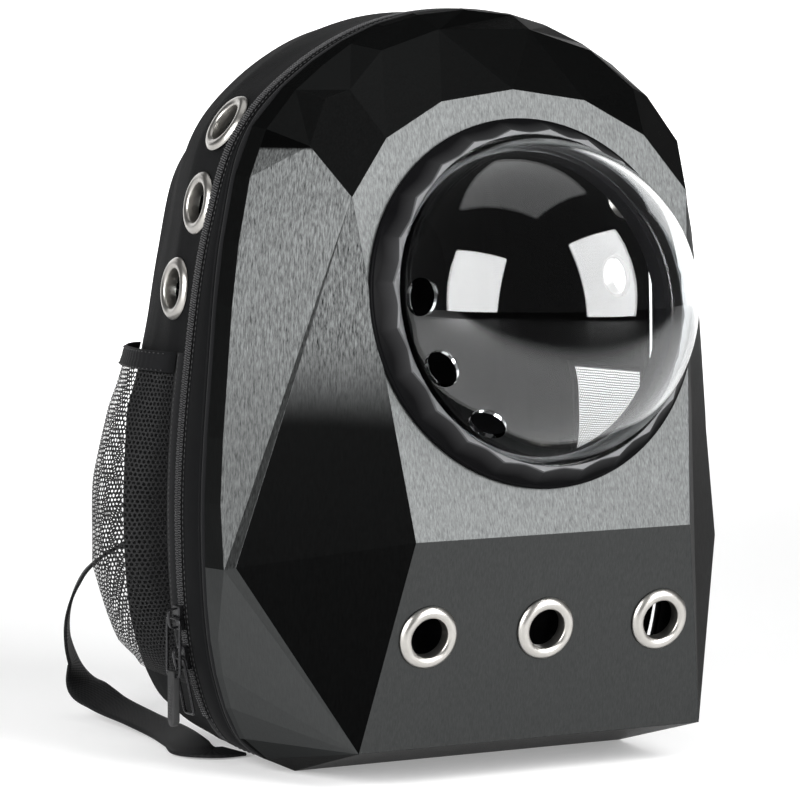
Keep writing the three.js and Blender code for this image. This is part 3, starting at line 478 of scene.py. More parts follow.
def gloss_black():
    s = Shader("gloss_black_moulding")
    place = s.place()
    speck = s.noise(place, 60.0, 3.0)
    return s.finish(Base_Color=s.mix(speck, (0.009, 0.009, 0.01), (0.016, 0.016, 0.018)),
                    Roughness=0.14 + speck * 0.1, Specular_IOR_Level=0.3, Normal=s.bump(speck, 0.06, 0.0004))


def bezel_finish():
    """Glossy black with a paler satin band round the bubble."""
    s = Shader("bezel_gloss")
    place = s.place()
    band = s.attribute("band")
    speck = s.noise(place, 90.0, 3.0)
    colour = s.mix(band, (0.0016, 0.0016, 0.0018), (0.08, 0.081, 0.083))
    colour = s.mix(speck * 0.25, colour, (0.008, 0.008, 0.009))
    return s.finish(Base_Color=colour, Roughness=0.34 + speck * 0.06, Metallic=band * 0.5,
                    Specular_IOR_Level=0.03, Normal=s.bump(speck, 0.05, 0.0003))


def clear_acrylic():
    s = Shader("clear_acrylic")
    place = s.place()
    haze = s.noise(place, 30.0, 4.0)
    return s.finish(Base_Color=(0.93, 0.95, 0.96), Roughness=haze.smooth(0.55, 0.9) * 0.03 + 0.01, IOR=1.47,
                    Transmission_Weight=1.0, Specular_IOR_Level=0.9, Normal=s.bump(haze, 0.01, 0.00002))


def nickel():
    """Satin nickel, brushed round the ring."""
    s = Shader("satin_nickel")
    v = s.axes(s.place("UV"))
    ring = s.noise(s.node("ShaderNodeCombineXYZ", X=v[0] * 2600.0, Y=v[1] * 60.0), 1.0, 3.0)
    blotch = s.noise(s.place(), 120.0, 3.0)
    colour = s.mix(blotch, (0.34, 0.33, 0.31), (0.5, 0.485, 0.46))
    return s.finish(Base_Color=colour, Roughness=0.24 + ring * 0.14, Metallic=1.0,
                    Normal=s.bump(ring, 0.12, 0.0001))


def woven(name, dark, light, pitch=0.0009, rough=0.85, sheen=0.04, strength=0.35, fold=0.0):
    """Plain weave: two sets of threads over and under each other, with uneven wear."""
    s = Shader(name)
    place = s.place()
    x, y, z = s.axes(place)
    k = 2 * math.pi / pitch
    warp = (x * k + y * (k * 0.6)).do("SINE")
    weft = (z * k + y * (k * 0.35)).do("SINE")
    weave = warp * weft * 0.5 + 0.5
    cloud = s.noise(place, 22.0, 4.0, 0.6)
    lint = s.noise(place, 900.0, 2.0)
    tone = cloud * 0.6 + weave * 0.25 + lint * 0.15
    height = weave * 0.6 + lint * 0.5
    normal = s.bump(height, strength, 0.0003)
    if fold:
        normal = s.bump(s.noise(s.scaled(place, (1, 1, 0.45)), 26.0, 3.0), fold, 0.004, normal)
    return s.finish(Base_Color=s.mix(tone, dark, light), Roughness=rough - lint * 0.08, Sheen_Weight=sheen,
                    Sheen_Roughness=0.5, Specular_IOR_Level=0.04, Normal=normal)


def ribbed_webbing():
    """Webbing: ribs across the band and a fine herringbone along it."""
    s = Shader("ribbed_webbing")
    u, v, _ = s.axes(s.place("UV"))
    rib = (v * (2 * math.pi / 0.0016)).do("SINE") * 0.5 + 0.5
    twill = ((u + v * 0.6) * (2 * math.pi / 0.0022)).do("SINE") * 0.5 + 0.5
    lint = s.noise(s.place(), 700.0, 2.0)
    tone = rib * 0.45 + twill * 0.3 + lint * 0.25
    return s.finish(Base_Color=s.mix(tone, (0.003, 0.003, 0.0033), (0.014, 0.0143, 0.015)),
                    Roughness=0.72 - rib * 0.12, Specular_IOR_Level=0.08,
                    Normal=s.bump(rib * 0.7 + twill * 0.4 + lint * 0.3, 0.5, 0.0004))


def net(name, pitch, thread, dark, light):
    """Knitted net with staggered six-sided holes."""
    s = Shader(name)
    u, v, _ = s.axes(s.place("UV"))
    wobble = s.noise(s.place(), 160.0, 2.0)
    a, b = u / pitch + wobble * 0.5, v / (pitch * 1.73) + wobble * 0.35
    holes = []
    for shift in (0.0, 0.5):
        da = abs((a + shift).do("FRACT") - 0.5)
        db = abs((b + shift).do("FRACT") - 0.5) * 1.73
        slanted = da * 0.5 + db * 0.866
        holes.append(da.do("MAXIMUM", slanted))
    reach = holes[0].do("MINIMUM", holes[1])
    solid = reach.smooth(0.5 - thread * 1.25, 0.5 - thread * 0.75)
    return s.finish(Base_Color=s.mix(wobble, dark, light), Roughness=0.7, Alpha=solid, Specular_IOR_Level=0.2,
                    Normal=s.bump(solid, 0.4, 0.0004))


def spacer_mesh():
    """Padded air mesh: a close grid of small dimples, with painted shade in them."""
    s = Shader("air_mesh")
    x, y, z = s.axes(s.place())
    k = 2 * math.pi / 0.0034
    dimple = (x * k).do("SINE") * (z * k).do("SINE")
    lint = s.noise(s.place(), 500.0, 3.0)
    # painted shade: the dimples are painted darker than the mesh round them
    shaded_hole = abs(dimple).smooth(0.45, 0.9)
    return s.finish(Base_Color=s.mix(shaded_hole, (0.03, 0.031, 0.033), (0.006, 0.006, 0.007)),
                    Roughness=0.9 - lint * 0.1, Specular_IOR_Level=0.2,
                    Normal=s.bump(1 - shaded_hole + lint * 0.3, 0.6, 0.0008))


def plain(name, dark, light, rough, metal=0.0, scale=300.0, strength=0.15):
    s = Shader(name)
    grain = s.noise(s.place(), scale, 3.0)
    return s.finish(Base_Color=s.mix(grain, dark, light), Roughness=rough + grain * 0.12, Metallic=metal,
                    Normal=s.bump(grain, strength, 0.0003))


FILM = brushed_film()
GLOSS = gloss_black()
BEZEL = bezel_finish()
ACRYLIC = clear_acrylic()
NICKEL = nickel()
CLOTH = woven("bag_cloth", (0.0013, 0.0014, 0.0016), (0.0056, 0.0058, 0.0062), sheen=0.012, fold=0.25)
BINDING = woven("binding_tape", (0.0025, 0.0025, 0.0028), (0.011, 0.0113, 0.012), pitch=0.0007, sheen=0.05)
LINING = woven("lining", (0.004, 0.004, 0.0045), (0.010, 0.010, 0.011), rough=0.9, sheen=0.05)
WEBBING = ribbed_webbing()
POCKET_NET = net("pocket_net_knit", 0.0029, 0.175, (0.002, 0.002, 0.0022), (0.009, 0.009, 0.0095))
WINDOW_NET = net("window_net_knit", 0.0019, 0.14, (0.012, 0.012, 0.013), (0.05, 0.05, 0.052))
AIR_MESH = spacer_mesh()
ZIP_TAPE = woven("zip_tape", (0.002, 0.002, 0.0022), (0.008, 0.008, 0.0085), pitch=0.0006)
ZIP_COIL = plain("zip_coil", (0.02, 0.02, 0.021), (0.05, 0.05, 0.052), 0.3, scale=900.0)
LACQUER = plain("black_lacquer", (0.012, 0.012, 0.013), (0.03, 0.03, 0.032), 0.22, metal=0.7, scale=200.0)
RUBBER = plain("soft_rubber", (0.004, 0.004, 0.0043), (0.009, 0.009, 0.0095), 0.5, scale=600.0)
THREAD = plain("thread", (0.01, 0.01, 0.0105), (0.022, 0.022, 0.023), 0.6, scale=2000.0)

# Repeats: small solids set on points that carry their own directions


def repeat_tree(name, material):
    """Sets one small capsule on each point, its length along the point's own tangent."""
    tree = bpy.data.node_groups.new(name, "GeometryNodeTree")
    face = tree.interface
    face.new_socket("Geometry", in_out="INPUT", socket_type="NodeSocketGeometry")
    for label in ("Length", "Width", "Height"):
        face.new_socket(label, in_out="INPUT", socket_type="NodeSocketFloat").default_value = 0.001
    face.new_socket("Geometry", in_out="OUTPUT", socket_type="NodeSocketGeometry")
    new = tree.nodes.new
    start, end = new("NodeGroupInput"), new("NodeGroupOutput")
    size = new("ShaderNodeCombineXYZ")
    for k, label in enumerate(("Length", "Width", "Height")):
        tree.links.new(start.outputs[label], size.inputs[k])
    solid = new("GeometryNodeMeshUVSphere")
    solid.inputs["Segments"].default_value, solid.inputs["Rings"].default_value = 8, 5
    solid.inputs["Radius"].default_value = 0.5
    axes = new("FunctionNodeAxesToRotation")
    axes.primary_axis, axes.secondary_axis = "Z", "X"
    for socket, label in ((0, "outward"), (1, "tangent")):
        read = new("GeometryNodeInputNamedAttribute")
        read.data_type = "FLOAT_VECTOR"
        read.inputs["Name"].default_value = label
        tree.links.new(read.outputs[0], axes.inputs[socket])
    setter = new("GeometryNodeInstanceOnPoints")
    tree.links.new(start.outputs["Geometry"], setter.inputs["Points"])
    tree.links.new(solid.outputs["Mesh"], setter.inputs["Instance"])
    tree.links.new(axes.outputs[0], setter.inputs["Rotation"])
    tree.links.new(size.outputs[0], setter.inputs["Scale"])
    real = new("GeometryNodeRealizeInstances")
    tree.links.new(setter.outputs[0], real.inputs[0])
    paint = new("GeometryNodeSetMaterial")
    paint.inputs["Material"].default_value = material
    tree.links.new(real.outputs[0], paint.inputs[0])
    tree.links.new(paint.outputs[0], end.inputs[0])
    return tree


def repeated(name, points, tangents, outward, size, material, body=PACK):
    """Copies of a small solid of length, width and height in millimetres at each point."""
    mesh = bpy.data.meshes.new(name)
    mesh.from_pydata((np.asarray(points) * MM).tolist(), [], [])
    for label, values in (("tangent", tangents), ("outward", outward)):
        data = mesh.attributes.new(label, "FLOAT_VECTOR", "POINT").data
        data.foreach_set("vector", np.asarray(unit(np.asarray(values, float)), np.float32).ravel())
    obj = linked(name, mesh)
    tree = repeat_tree(name + "_tree", material)
    modifier = obj.modifiers.new("Repeat", "NODES")
    modifier.node_group = tree
    ids = {item.name: item.identifier for item in tree.interface.items_tree if item.in_out == "INPUT"}
    for label, value in zip(("Length", "Width", "Height"), size):
        modifier[ids[label]] = value * MM
    bpy.context.view_layer.update()
    apply_modifiers(obj)
    smoothed(obj.data)
    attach(obj, body)
    return obj


def stitches(name, path, outward, pitch=3.4, length=2.3, lift=0.15):
    """A row of stitches along a path that lies on cloth."""
    path, outward = np.asarray(path, float), np.asarray(outward, float)
    along = lengths(path)
    at = np.arange(pitch / 2, along[-1], pitch)
    points = resampled(at, along, path)
    normals = unit(resampled(at, along, outward))
    tangents = unit(np.gradient(points, axis=0))
    return repeated(name, points + normals * lift, tangents, normals, (length, 0.7, 0.55), THREAD)


# The front shell: flat facets with small worn edges, each with its own tone


UPPER, LOWER = math.radians(UPPER_LEAN), math.radians(LOWER_LEAN)
FRONT_Y = RIM_Y - SHELL_DEPTH
PANEL_NORMAL = np.array([0, -math.cos(UPPER), math.sin(UPPER)])
PANEL_UP = np.array([0, math.sin(UPPER), math.cos(UPPER)])
LOWER_NORMAL = np.array([0, -math.cos(LOWER), -math.sin(LOWER)])
BEZEL_CENTRE = np.array([0, FRONT_Y + math.tan(UPPER) * (BEZEL_Z - FOLD_Z), BEZEL_Z])


# Rows of tone, how far the brushing shows, and how much painted light a facet takes at its top, fading out
# downwards
LOOKS = np.array([
    [0.014, 0.05, 0.0],
    [0.045, 0.06, 0.0],
    [0.058, 0.5, 0.0],
    [0.052, 0.7, 0.2],
    [0.04, 0.1, 0.0],
    [0.0016, 0.2, 1.0],
])
BLACK, SLATE, PANEL, UPPER_SIDE, LOWER_FRONT, FADING_SIDE = range(6)


def make_shell():
    """The moulded front from its own solid: joined corners, a small bevel and a tone for each facet."""
    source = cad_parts["front_shell"]
    mesh = source.data.copy()
    obj = linked("front_shell_film", mesh)
    obj.matrix_world = source.matrix_world.copy()
    bm = bmesh.new()
    bm.from_mesh(mesh)
    bmesh.ops.transform(bm, matrix=source.matrix_world, verts=bm.verts)
    obj.matrix_world = Matrix.Identity(4)
    bmesh.ops.remove_doubles(bm, verts=bm.verts, dist=1e-5)
    bmesh.ops.recalc_face_normals(bm, faces=bm.faces)
    bmesh.ops.dissolve_limit(bm, angle_limit=math.radians(0.6), verts=bm.verts, edges=bm.edges)
    tone = bm.faces.layers.float.new("tone_face")
    for face in bm.faces:
        face[tone] = facet_tone(face)
    edges = [e for e in bm.edges if len(e.link_faces) == 2 and e.calc_face_angle(0) > math.radians(5)
             and min(v.co.y for v in e.verts) < -0.0655 and e.calc_length() > 0.012 and e.is_convex]
    bmesh.ops.bevel(bm, geom=edges, offset=0.0009, segments=2, affect="EDGES", profile=0.5,
                    clamp_overlap=True)
    bmesh.ops.triangulate(bm, faces=[f for f in bm.faces if len(f.verts) > 4])
    bm.to_mesh(mesh)
    bm.free()
    kinds = np.empty(len(mesh.polygons), np.float32)
    mesh.attributes["tone_face"].data.foreach_get("value", kinds)
    mesh.attributes.remove(mesh.attributes["tone_face"])
    kinds = np.clip(np.rint(kinds).astype(int), 0, len(LOOKS) - 1)
    for k, label in enumerate(("tone", "brushed", "fade")):
        values = LOOKS[kinds, k].astype(np.float32)
        mesh.attributes.new(label, "FLOAT", "FACE").data.foreach_set("value", values)
    mesh.materials.clear()
    mesh.materials.append(FILM)
    mesh.polygons.foreach_set("material_index", np.zeros(len(mesh.polygons), np.int32))
    mesh.polygons.foreach_set("use_smooth", [False] * len(mesh.polygons))
    mesh.update()
    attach(obj, PACK)
    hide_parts("front_shell")


def facet_tone(face):
    """Which row of LOOKS a facet has, from its normal and its middle in millimetres."""
    n, c = face.normal, face.calc_center_median() * 1000
    inside_or_skirt = n.y > 0.2 or c.y > -62 or n.z < -0.8
    if inside_or_skirt:
        return BLACK
    ahead = np.array(n[:])
    if ahead @ PANEL_NORMAL > 0.999:
        return PANEL
    if ahead @ LOWER_NORMAL > 0.999:
        return LOWER_FRONT
    if abs(n.x) < 0.05 or n.z > 0.5:
        return BLACK
    cheek_z, shoulder_z = 110, 342
    fold = np.interp(c.z, (0.2825 * HEIGHT, 0.759 * HEIGHT), (0.962 * HALF_WIDTH, 0.659 * HALF_WIDTH))
    if c.z < cheek_z and abs(c.x) > 118:
        return SLATE
    if c.z > cheek_z and abs(c.x) > fold - 1:
        return UPPER_SIDE if c.z < shoulder_z and c.y < -75 else BLACK
    return FADING_SIDE if c.z < 250 else BLACK


# The bezel and the bubble

X_AXIS = np.array([1.0, 0, 0])


def on_panel(x, y, h):
    x, y, h = (np.asarray(v, float)[..., None] for v in (x, y, h))
    return BEZEL_CENTRE + x * X_AXIS + y * PANEL_UP + h * PANEL_NORMAL


def make_bezel():
    steps = 10
    rows, bands = [], []
    for k in range(FLUTES * steps):
        frac = (k % steps) / steps
        ridge = abs(2 * frac - 1) ** 1.5
        angle = math.radians(7.5 + 15 * k / steps)
        foot = np.array([0.69, 0.451]) * (1 - ridge) + np.array([0.875, 0.243]) * ridge
        top = np.array([0.158, 0.972]) * (1 - ridge) + np.array([0.367, 0.944]) * ridge
        section = [(1.0, 0.022), (1.0, 0.16), (0.965, 0.205), (0.9, 0.228)]
        section += [tuple(foot + (top - foot) * t) for t in (0.0, 0.04, 0.5, 0.96, 1.0)]
        section += [(top[0] - 0.045, 1.0), (0.07, 1.0), (0.036, 0.985), (0.036, 0.022)]
        r = np.array([BUBBLE_R + BEZEL_WIDTH * s[0] for s in section])
        h = np.array([BEZEL_HEIGHT * s[1] for s in section])
        rows.append(on_panel(r * math.cos(angle), r * math.sin(angle), h))
        bands.append([0, 0, 0, 0, 0, 0, 0.12, 0.25, 0.9, 1, 1, 0.35, 0])
    obj = swept("bubble_bezel", rows, BEZEL, closed=True, body="bubble", sharp=18)
    bands = np.array(bands, np.float32).ravel()
    obj.data.attributes.new("band", "FLOAT", "POINT").data.foreach_set("value", bands)
    turned("bubble_neck", [(82.0, -8), (85.7, -8), (85.7, 0.3), (88.3, 0.3), (88.3, 3.4), (82.0, 3.4)], 128,
           BEZEL_CENTRE, PANEL_NORMAL, GLOSS, body="bubble")
    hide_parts("bubble_ring")


def dome_way(a, rise):
    """The direction from the bezel's centre at an angle round the panel and a rise above it."""
    return math.cos(rise) * (math.cos(a) * X_AXIS + math.sin(a) * PANEL_UP) + math.sin(rise) * PANEL_NORMAL


def vent_axis(angle):
    return dome_way(math.radians(angle), math.radians(VENT_RISE))


def make_bubble():
    """A clear shell with three polished vent holes."""
    centre = BEZEL_CENTRE
    verts, faces = [], []
    around, up = 128, 40
    for radius in (BUBBLE_R - 0.1, BUBBLE_R - BUBBLE_WALL):
        first = len(verts)
        low = math.asin(BUBBLE_SEAT / radius)
        for j in range(up):
            rise = low + (math.pi / 2 - low) * j / up
            verts += [centre + radius * dome_way(2 * math.pi * i / around, rise) for i in range(around)]
        verts.append(centre + radius * PANEL_NORMAL)
        faces += grid_faces(up, around, False, True, first).tolist()
        last = first + (up - 1) * around
        faces += [[last + i, last + (i + 1) % around, len(verts) - 1] for i in range(around)]
    inner = up * around + 1
    faces += [[i, (i + 1) % around, inner + (i + 1) % around, inner + i] for i in range(around)]
    obj = piece("bubble_dome_clear", verts, faces, ACRYLIC, body="bubble")
    outwards(obj)
    axes = [vent_axis(a) for a in VENT_ANGLES]
    cut(obj, [rod_object(VENT_R, centre + axis * 70, centre + axis * 100, 64) for axis in axes])
    smoothed(obj.data)
    obj.data.set_sharp_from_angle(angle=math.radians(35))
    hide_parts("bubble_dome")


# Eyelets

EYELET_PROFILE = [(10.8, -4.5), (10.8, 1.5), (11.0, 2.05), (11.5, 2.5), (12.4, 2.95), (13.6, 3.2),
                  (14.8, 3.0), (15.9, 2.3), (16.7, 1.4), (17.1, 0.8), (17.2, 0.3), (12.2, 0.3), (12.2, -4.5)]


def make_front_eyelets():
    z = 82.0
    for name, x in (("front_vent_left", -71.6), ("front_vent_middle", 0.0), ("front_vent_right", 71.6)):
        lo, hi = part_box(name)
        middle = (np.array(lo) + np.array(hi)) / 2 * 1000
        y = FRONT_Y + math.tan(LOWER) * (FOLD_Z - z)
        base = np.array([x, y, z])
        base = base + LOWER_NORMAL * ((middle - base) @ LOWER_NORMAL + 0.65)
        ring = turned(name + "_ring", EYELET_PROFILE, 96, base, LOWER_NORMAL, NICKEL)
        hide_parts(name)


def make_side_eyelets():
    places = []
    for side, word in ((-1, "left"), (1, "right")):
        for k, (up, back) in enumerate(((0.848, 0.242), (0.744, 0.284), (0.63, 0.391))):
            z, y = up * HEIGHT, back * BAG_DEPTH
            at = on_side(side, z, y)
            axis = side_normal(side, z, y)
            name = f"side_vent_{word}_{k + 1}"
            lo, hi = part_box(name)
            middle = (np.array(lo) + np.array(hi)) / 2 * 1000
            base = middle - axis * ((middle - at) @ axis)
            ring = turned(name + "_ring", EYELET_PROFILE, 96, base, axis, NICKEL)
            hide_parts(name)
            places.append((base, axis))
    return places


# Rim: bead, door band and zip


def rim_path(rim, inset, back):
    rim = np.atleast_2d(rim)
    y = RIM_Y + np.broadcast_to(back, len(rim))
    return np.column_stack([rim[:, 0] - rim[:, 2] * inset, y, rim[:, 1] - rim[:, 3] * inset])


def loft_rim(name, rim, section, material, closed=True):
    """A band round the rim: the section gives inset and back, or functions of the outline row's height."""
    rows = []
    for inset, back in section:
        rows.append(rim_path(rim, inset, back(rim[:, 1]) if callable(back) else back))
    return swept(name, np.stack(rows, axis=1), material, closed=closed)


def make_bead():
    rim = arch_and_floor(420, 120)
    turn = np.linspace(0, 2 * np.pi, 14, endpoint=False)
    centre, lift = 3.6, BEAD_R
    section = [(-BEAD_R * math.cos(a) * 0.98 + lift, centre + BEAD_R * math.sin(a) * 0.98) for a in turn]
    bead = loft_rim("rim_bead_cloth", rim, section, BINDING)
    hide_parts("piping")


def make_band():
    rim = arch_and_floor(420, 120)
    front = 7.25
    rear = lambda z: zip_back(z) - CLOTH_GAP
    before = lambda step: lambda z: rear(z) - step
    section = [(1.15, front), (1.0, front + 0.4), (1.0, 9.4), (1.35, 10.0), (1.0, 10.6)]
    section += [(1.0, before(3.1)), (1.3, before(2.5)), (1.0, before(1.9)), (1.0, before(0.3))]
    section += [(1.5, rear), (2.9, rear), (2.9, front)]
    band = loft_rim("door_band_cloth", rim, section, CLOTH)
    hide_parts("door_band")
    arch = outline(np.linspace(0.01, 0.99, 500))
    normals = np.column_stack([arch[:, 2], 0 * arch[:, 0], arch[:, 3]])
    stitches("door_band_stitches", rim_path(arch, 1.0, rear(arch[:, 1]) - 1.3), normals, 3.0, 2.0, 0.1)


def make_zip():
    end = 0.045
    rim = outline(np.linspace(end, 1 - end, 500))
    back = zip_back(rim[:, 1])
    front, rear = (lambda z: zip_back(z) - TAPE_HALF), (lambda z: zip_back(z) + TAPE_HALF)
    section = [(0.45, front), (0.45, rear), (1.75, rear), (1.75, front)]
    tape = loft_rim("zip_tape_cloth", rim, section, ZIP_TAPE, closed=False)
    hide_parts("zipper")
    path = rim_path(rim, 0.1, back)
    along = lengths(path)
    pitch = 1.3
    at = np.arange(0.4, along[-1] - 0.4, pitch)
    points = resampled(at, along, path)
    normals = np.stack([np.interp(at, along, rim[:, 2]), 0 * at, np.interp(at, along, rim[:, 3])], axis=1)
    tangents = unit(np.gradient(points, axis=0))
    across = np.cross(unit(normals), tangents)
    for word, shift, half in (("front", -1.5, 0.0), ("rear", 1.5, 0.5)):
        places = points + np.array([0, shift, 0]) + tangents * (pitch * half) - unit(normals) * 0.25
        repeated(f"zip_teeth_{word}", places, across, normals, (3.1, 0.8, 1.0), ZIP_COIL)
    outward = np.column_stack([rim[:, 2], 0 * back, rim[:, 3]])
    for word, shift in (("front", -3.3), ("rear", 3.3)):
        stitches(f"zip_stitches_{word}", rim_path(rim, 0.4, back + shift), outward, 2.6, 1.8, 0.05)


# The bag: outer cloth, lining, seams and binding


def bag_grid(backs, offset, arch=240, floor=80):
    rim = arch_and_floor(arch, floor)
    rows = []
    for share in backs:
        back = zip_back(rim[:, 1]) + CLOTH_GAP
        back = back + (BAG_DEPTH - back) * share
        rows.append(bag_point(rim, back, offset))
    return rim, np.array(rows)


def folds(p):
    """Soft wrinkles and sag in the cloth, inwards only, strongest between the frame's edges."""
    out = np.zeros(p.shape[:-1])
    for index in np.ndindex(out.shape):
        x, y, z = p[index] * 0.001
        a = noise.noise(Vector((x * 9, y * 16, z * 7))) * 0.5
        a += noise.noise(Vector((x * 30, y * 38, z * 18))) * 0.22
        b = 1 - abs(noise.noise(Vector((x * 14 + 4, y * 22, z * 11)))) * 2.2
        out[index] = -0.75 + a * 0.9 + 0.35 * max(b, 0)
    return np.minimum(out, 0)


def make_bag():
    shares = np.concatenate([[0, 0.006, 0.02, 0.032], np.linspace(0.06, 0.7, 22), np.linspace(0.73, 1, 20)])
    rim, outer = bag_grid(shares, 0.0)
    _, inner = bag_grid(shares, -2.0)
    edge = np.interp(shares, [0, 0.05, 0.12, 0.9, 1], [0, 0, 1, 1, 0.3])
    dent = folds(outer) * edge[:, None] * np.clip(rim[:, 1] / 30, 0, 1)[None, :]
    for place, _ in EYELETS:
        away = np.linalg.norm(outer - place, axis=2)
        dent = dent * np.clip((away - 18) / 14, 0, 1)
    near_pocket = np.clip((outer[..., 2] - 34) / 12, 0, 1) * np.clip((240 - outer[..., 2]) / 14, 0, 1)
    dent = dent * (1 - 0.6 * near_pocket * (outer[..., 0] < -100))
    normal = np.column_stack([rim[:, 2], 0 * rim[:, 0], rim[:, 3]])[None]
    outer = outer + normal * dent[..., None]
    # the bottom stays flat on the floor
    outer[..., 2] = np.maximum(outer[..., 2], 0)
    inner[..., 1] = np.minimum(inner[..., 1], 94.0)
    inner[..., 2] = np.maximum(inner[..., 2], 2.0)
    rows, ring = outer.shape[:2]
    verts = np.concatenate([outer.reshape(-1, 3), inner.reshape(-1, 3)])
    faces = grid_faces(rows, ring, False, True).tolist()
    faces += [f[::-1] for f in grid_faces(rows, ring, False, True, rows * ring).tolist()]
    faces += [[k, (k + 1) % ring, rows * ring + (k + 1) % ring, rows * ring + k] for k in range(ring)]
    last = (rows - 1) * ring
    # back wall: rings drawn in towards the middle of the wall
    for base, flip in ((last, False), (rows * ring + last, True)):
        hub = verts[base : base + ring].mean(axis=0)
        first = len(verts)
        layers = [base]
        for k in range(1, 6):
            layer = hub + (verts[base : base + ring] - hub) * (1 - k / 6)
            layers.append(len(verts))
            verts = np.vstack([verts, layer])
        verts = np.vstack([verts, hub[None]])
        for a, b in zip(layers, layers[1:]):
            faces += [[a + k, a + (k + 1) % ring, b + (k + 1) % ring, b + k] for k in range(ring)]
        faces += [[layers[-1] + k, layers[-1] + (k + 1) % ring, len(verts) - 1] for k in range(ring)]
    lined = [int(min(f) >= rows * ring and min(f) < 2 * rows * ring) for f in faces]
    obj = piece("bag_cloth", verts, faces, [CLOTH, LINING], index=lined)
    outwards(obj)
    window = window_cutter()
    cutters = [window] + [rod_object(12.6, p - axis * 9, p + axis * 9, 40) for p, axis in EYELETS]
    cut(obj, cutters)
    smoothed(obj.data)
    obj.data.set_sharp_from_angle(angle=math.radians(40))
    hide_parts("bag_body")


def window_points(backs, heights, offset):
    b, z = np.meshgrid(backs, heights, indexing="ij")
    return on_side(1, z, b, offset)


def window_cutter():
    """A block through the bag's right side where its mesh window is."""
    backs, heights = np.linspace(44.0, 114.0, 9), np.linspace(42.0, 205.0, 15)
    faces = window_points(backs, heights, 5.0), window_points(backs, heights, -7.0)
    rows, columns = faces[0].shape[:2]
    size = rows * columns
    verts = np.concatenate([f.reshape(-1, 3) for f in faces])
    quads = grid_faces(rows, columns).tolist()
    quads += [f[::-1] for f in grid_faces(rows, columns, start=size).tolist()]
    border = [k * columns for k in range(rows)] + [(rows - 1) * columns + k for k in range(1, columns)]
    border += [k * columns + columns - 1 for k in range(rows - 2, -1, -1)] + list(range(columns - 2, 0, -1))
    for a, b in zip(border, border[1:] + border[:1]):
        quads.append([a, b, b + size, a + size])
    mesh = bpy.data.meshes.new("cutter")
    mesh.from_pydata((verts * MM).tolist(), [], quads)
    obj = linked("cutter", mesh)
    return outwards(obj)


def net_sheet(name, points, material, node, flat):
    """A sheet of net through a grid of points; u and v of its map are lengths along the cloth."""
    points = np.asarray(points, float)
    rows, columns = points.shape[:2]
    u = lengths(points[:, columns // 2])
    v = lengths(points[rows // 2])
    uv = np.stack(np.meshgrid(u, v, indexing="ij"), axis=-1).reshape(-1, 2)
    obj = piece(name, points.reshape(-1, 3), grid_faces(rows, columns), material, uv)
    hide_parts(node)


def make_window():
    backs, heights = np.linspace(44.6, 113.4, 15), np.linspace(42.6, 204.4, 31)
    points = window_points(backs, heights, -1.0)
    span = np.linalg.norm(np.diff(points[:, 15], axis=0), axis=1).sum()
    rise = np.linalg.norm(np.diff(points[7], axis=0), axis=1).sum()
    net_sheet("side_window_net", points, WINDOW_NET, "side_window_mesh",
              (span * MM * 1.01, rise * MM * 1.01))
    # binding tape round the opening
    front, rear, foot, head = 40.5, 117.5, 38.5, 208.5
    ring = [(b, foot) for b in np.linspace(front, rear, 14)]
    ring += [(rear, z) for z in np.linspace(foot, head, 26)[1:]]
    ring += [(b, head) for b in np.linspace(rear, front, 14)[1:]]
    ring += [(front, z) for z in np.linspace(head, foot, 26)[1:-1]]
    ring = np.array(ring)
    middle = ring.mean(axis=0)
    rows = []
    for reach, offset in ((1.0, 0.1), (1.0, 0.75), (0.97, 1.0), (0.93, 0.9), (0.915, 0.5), (0.915, 0.1)):
        span = middle + (ring - middle) * np.array([reach - (1 - reach) * 0.9, reach])
        rows.append(on_side(1, span[:, 1], span[:, 0], offset))
    tape = swept("side_window_binding", np.stack(rows, axis=1), BINDING, closed=True)
    span = middle + (ring - middle) * np.array([0.945, 0.985])
    normals = np.array([side_normal(1, z, b) for b, z in span])
    path = on_side(1, span[:, 1], span[:, 0], 0.95)
    path, normals = (np.vstack([v, v[:1]]) for v in (path, normals))
    row = stitches("side_window_stitches", path, normals, 3.4, 2.3, 0.05)


# The pocket: net, elastic hem and plain front tape

SWELL = np.array([(0, 0), (0.12, 0.55), (0.35, 1), (0.6, 0.92), (0.85, 0.62), (1, 0.5)])


def pocket_point(along, z, offset):
    along, z = np.broadcast_arrays(np.asarray(along, float), np.asarray(z, float))
    back = zip_back(z) + ZIP_WIDTH / 2 + 14 + 84 * along
    across = np.sin(np.pi * np.clip(along, 0, 1) ** 0.8) ** 0.7
    swell = 30 * np.interp((z - 44) / 181, SWELL[:, 0], SWELL[:, 1]) * across
    swell = np.where((along <= 0) | (along >= 1), 0, swell)
    at, ahead = on_side(-1, z, back, 0.9), on_side(-1, z, back, 1.9)
    return at + (ahead - at) * (swell + offset)[..., None]


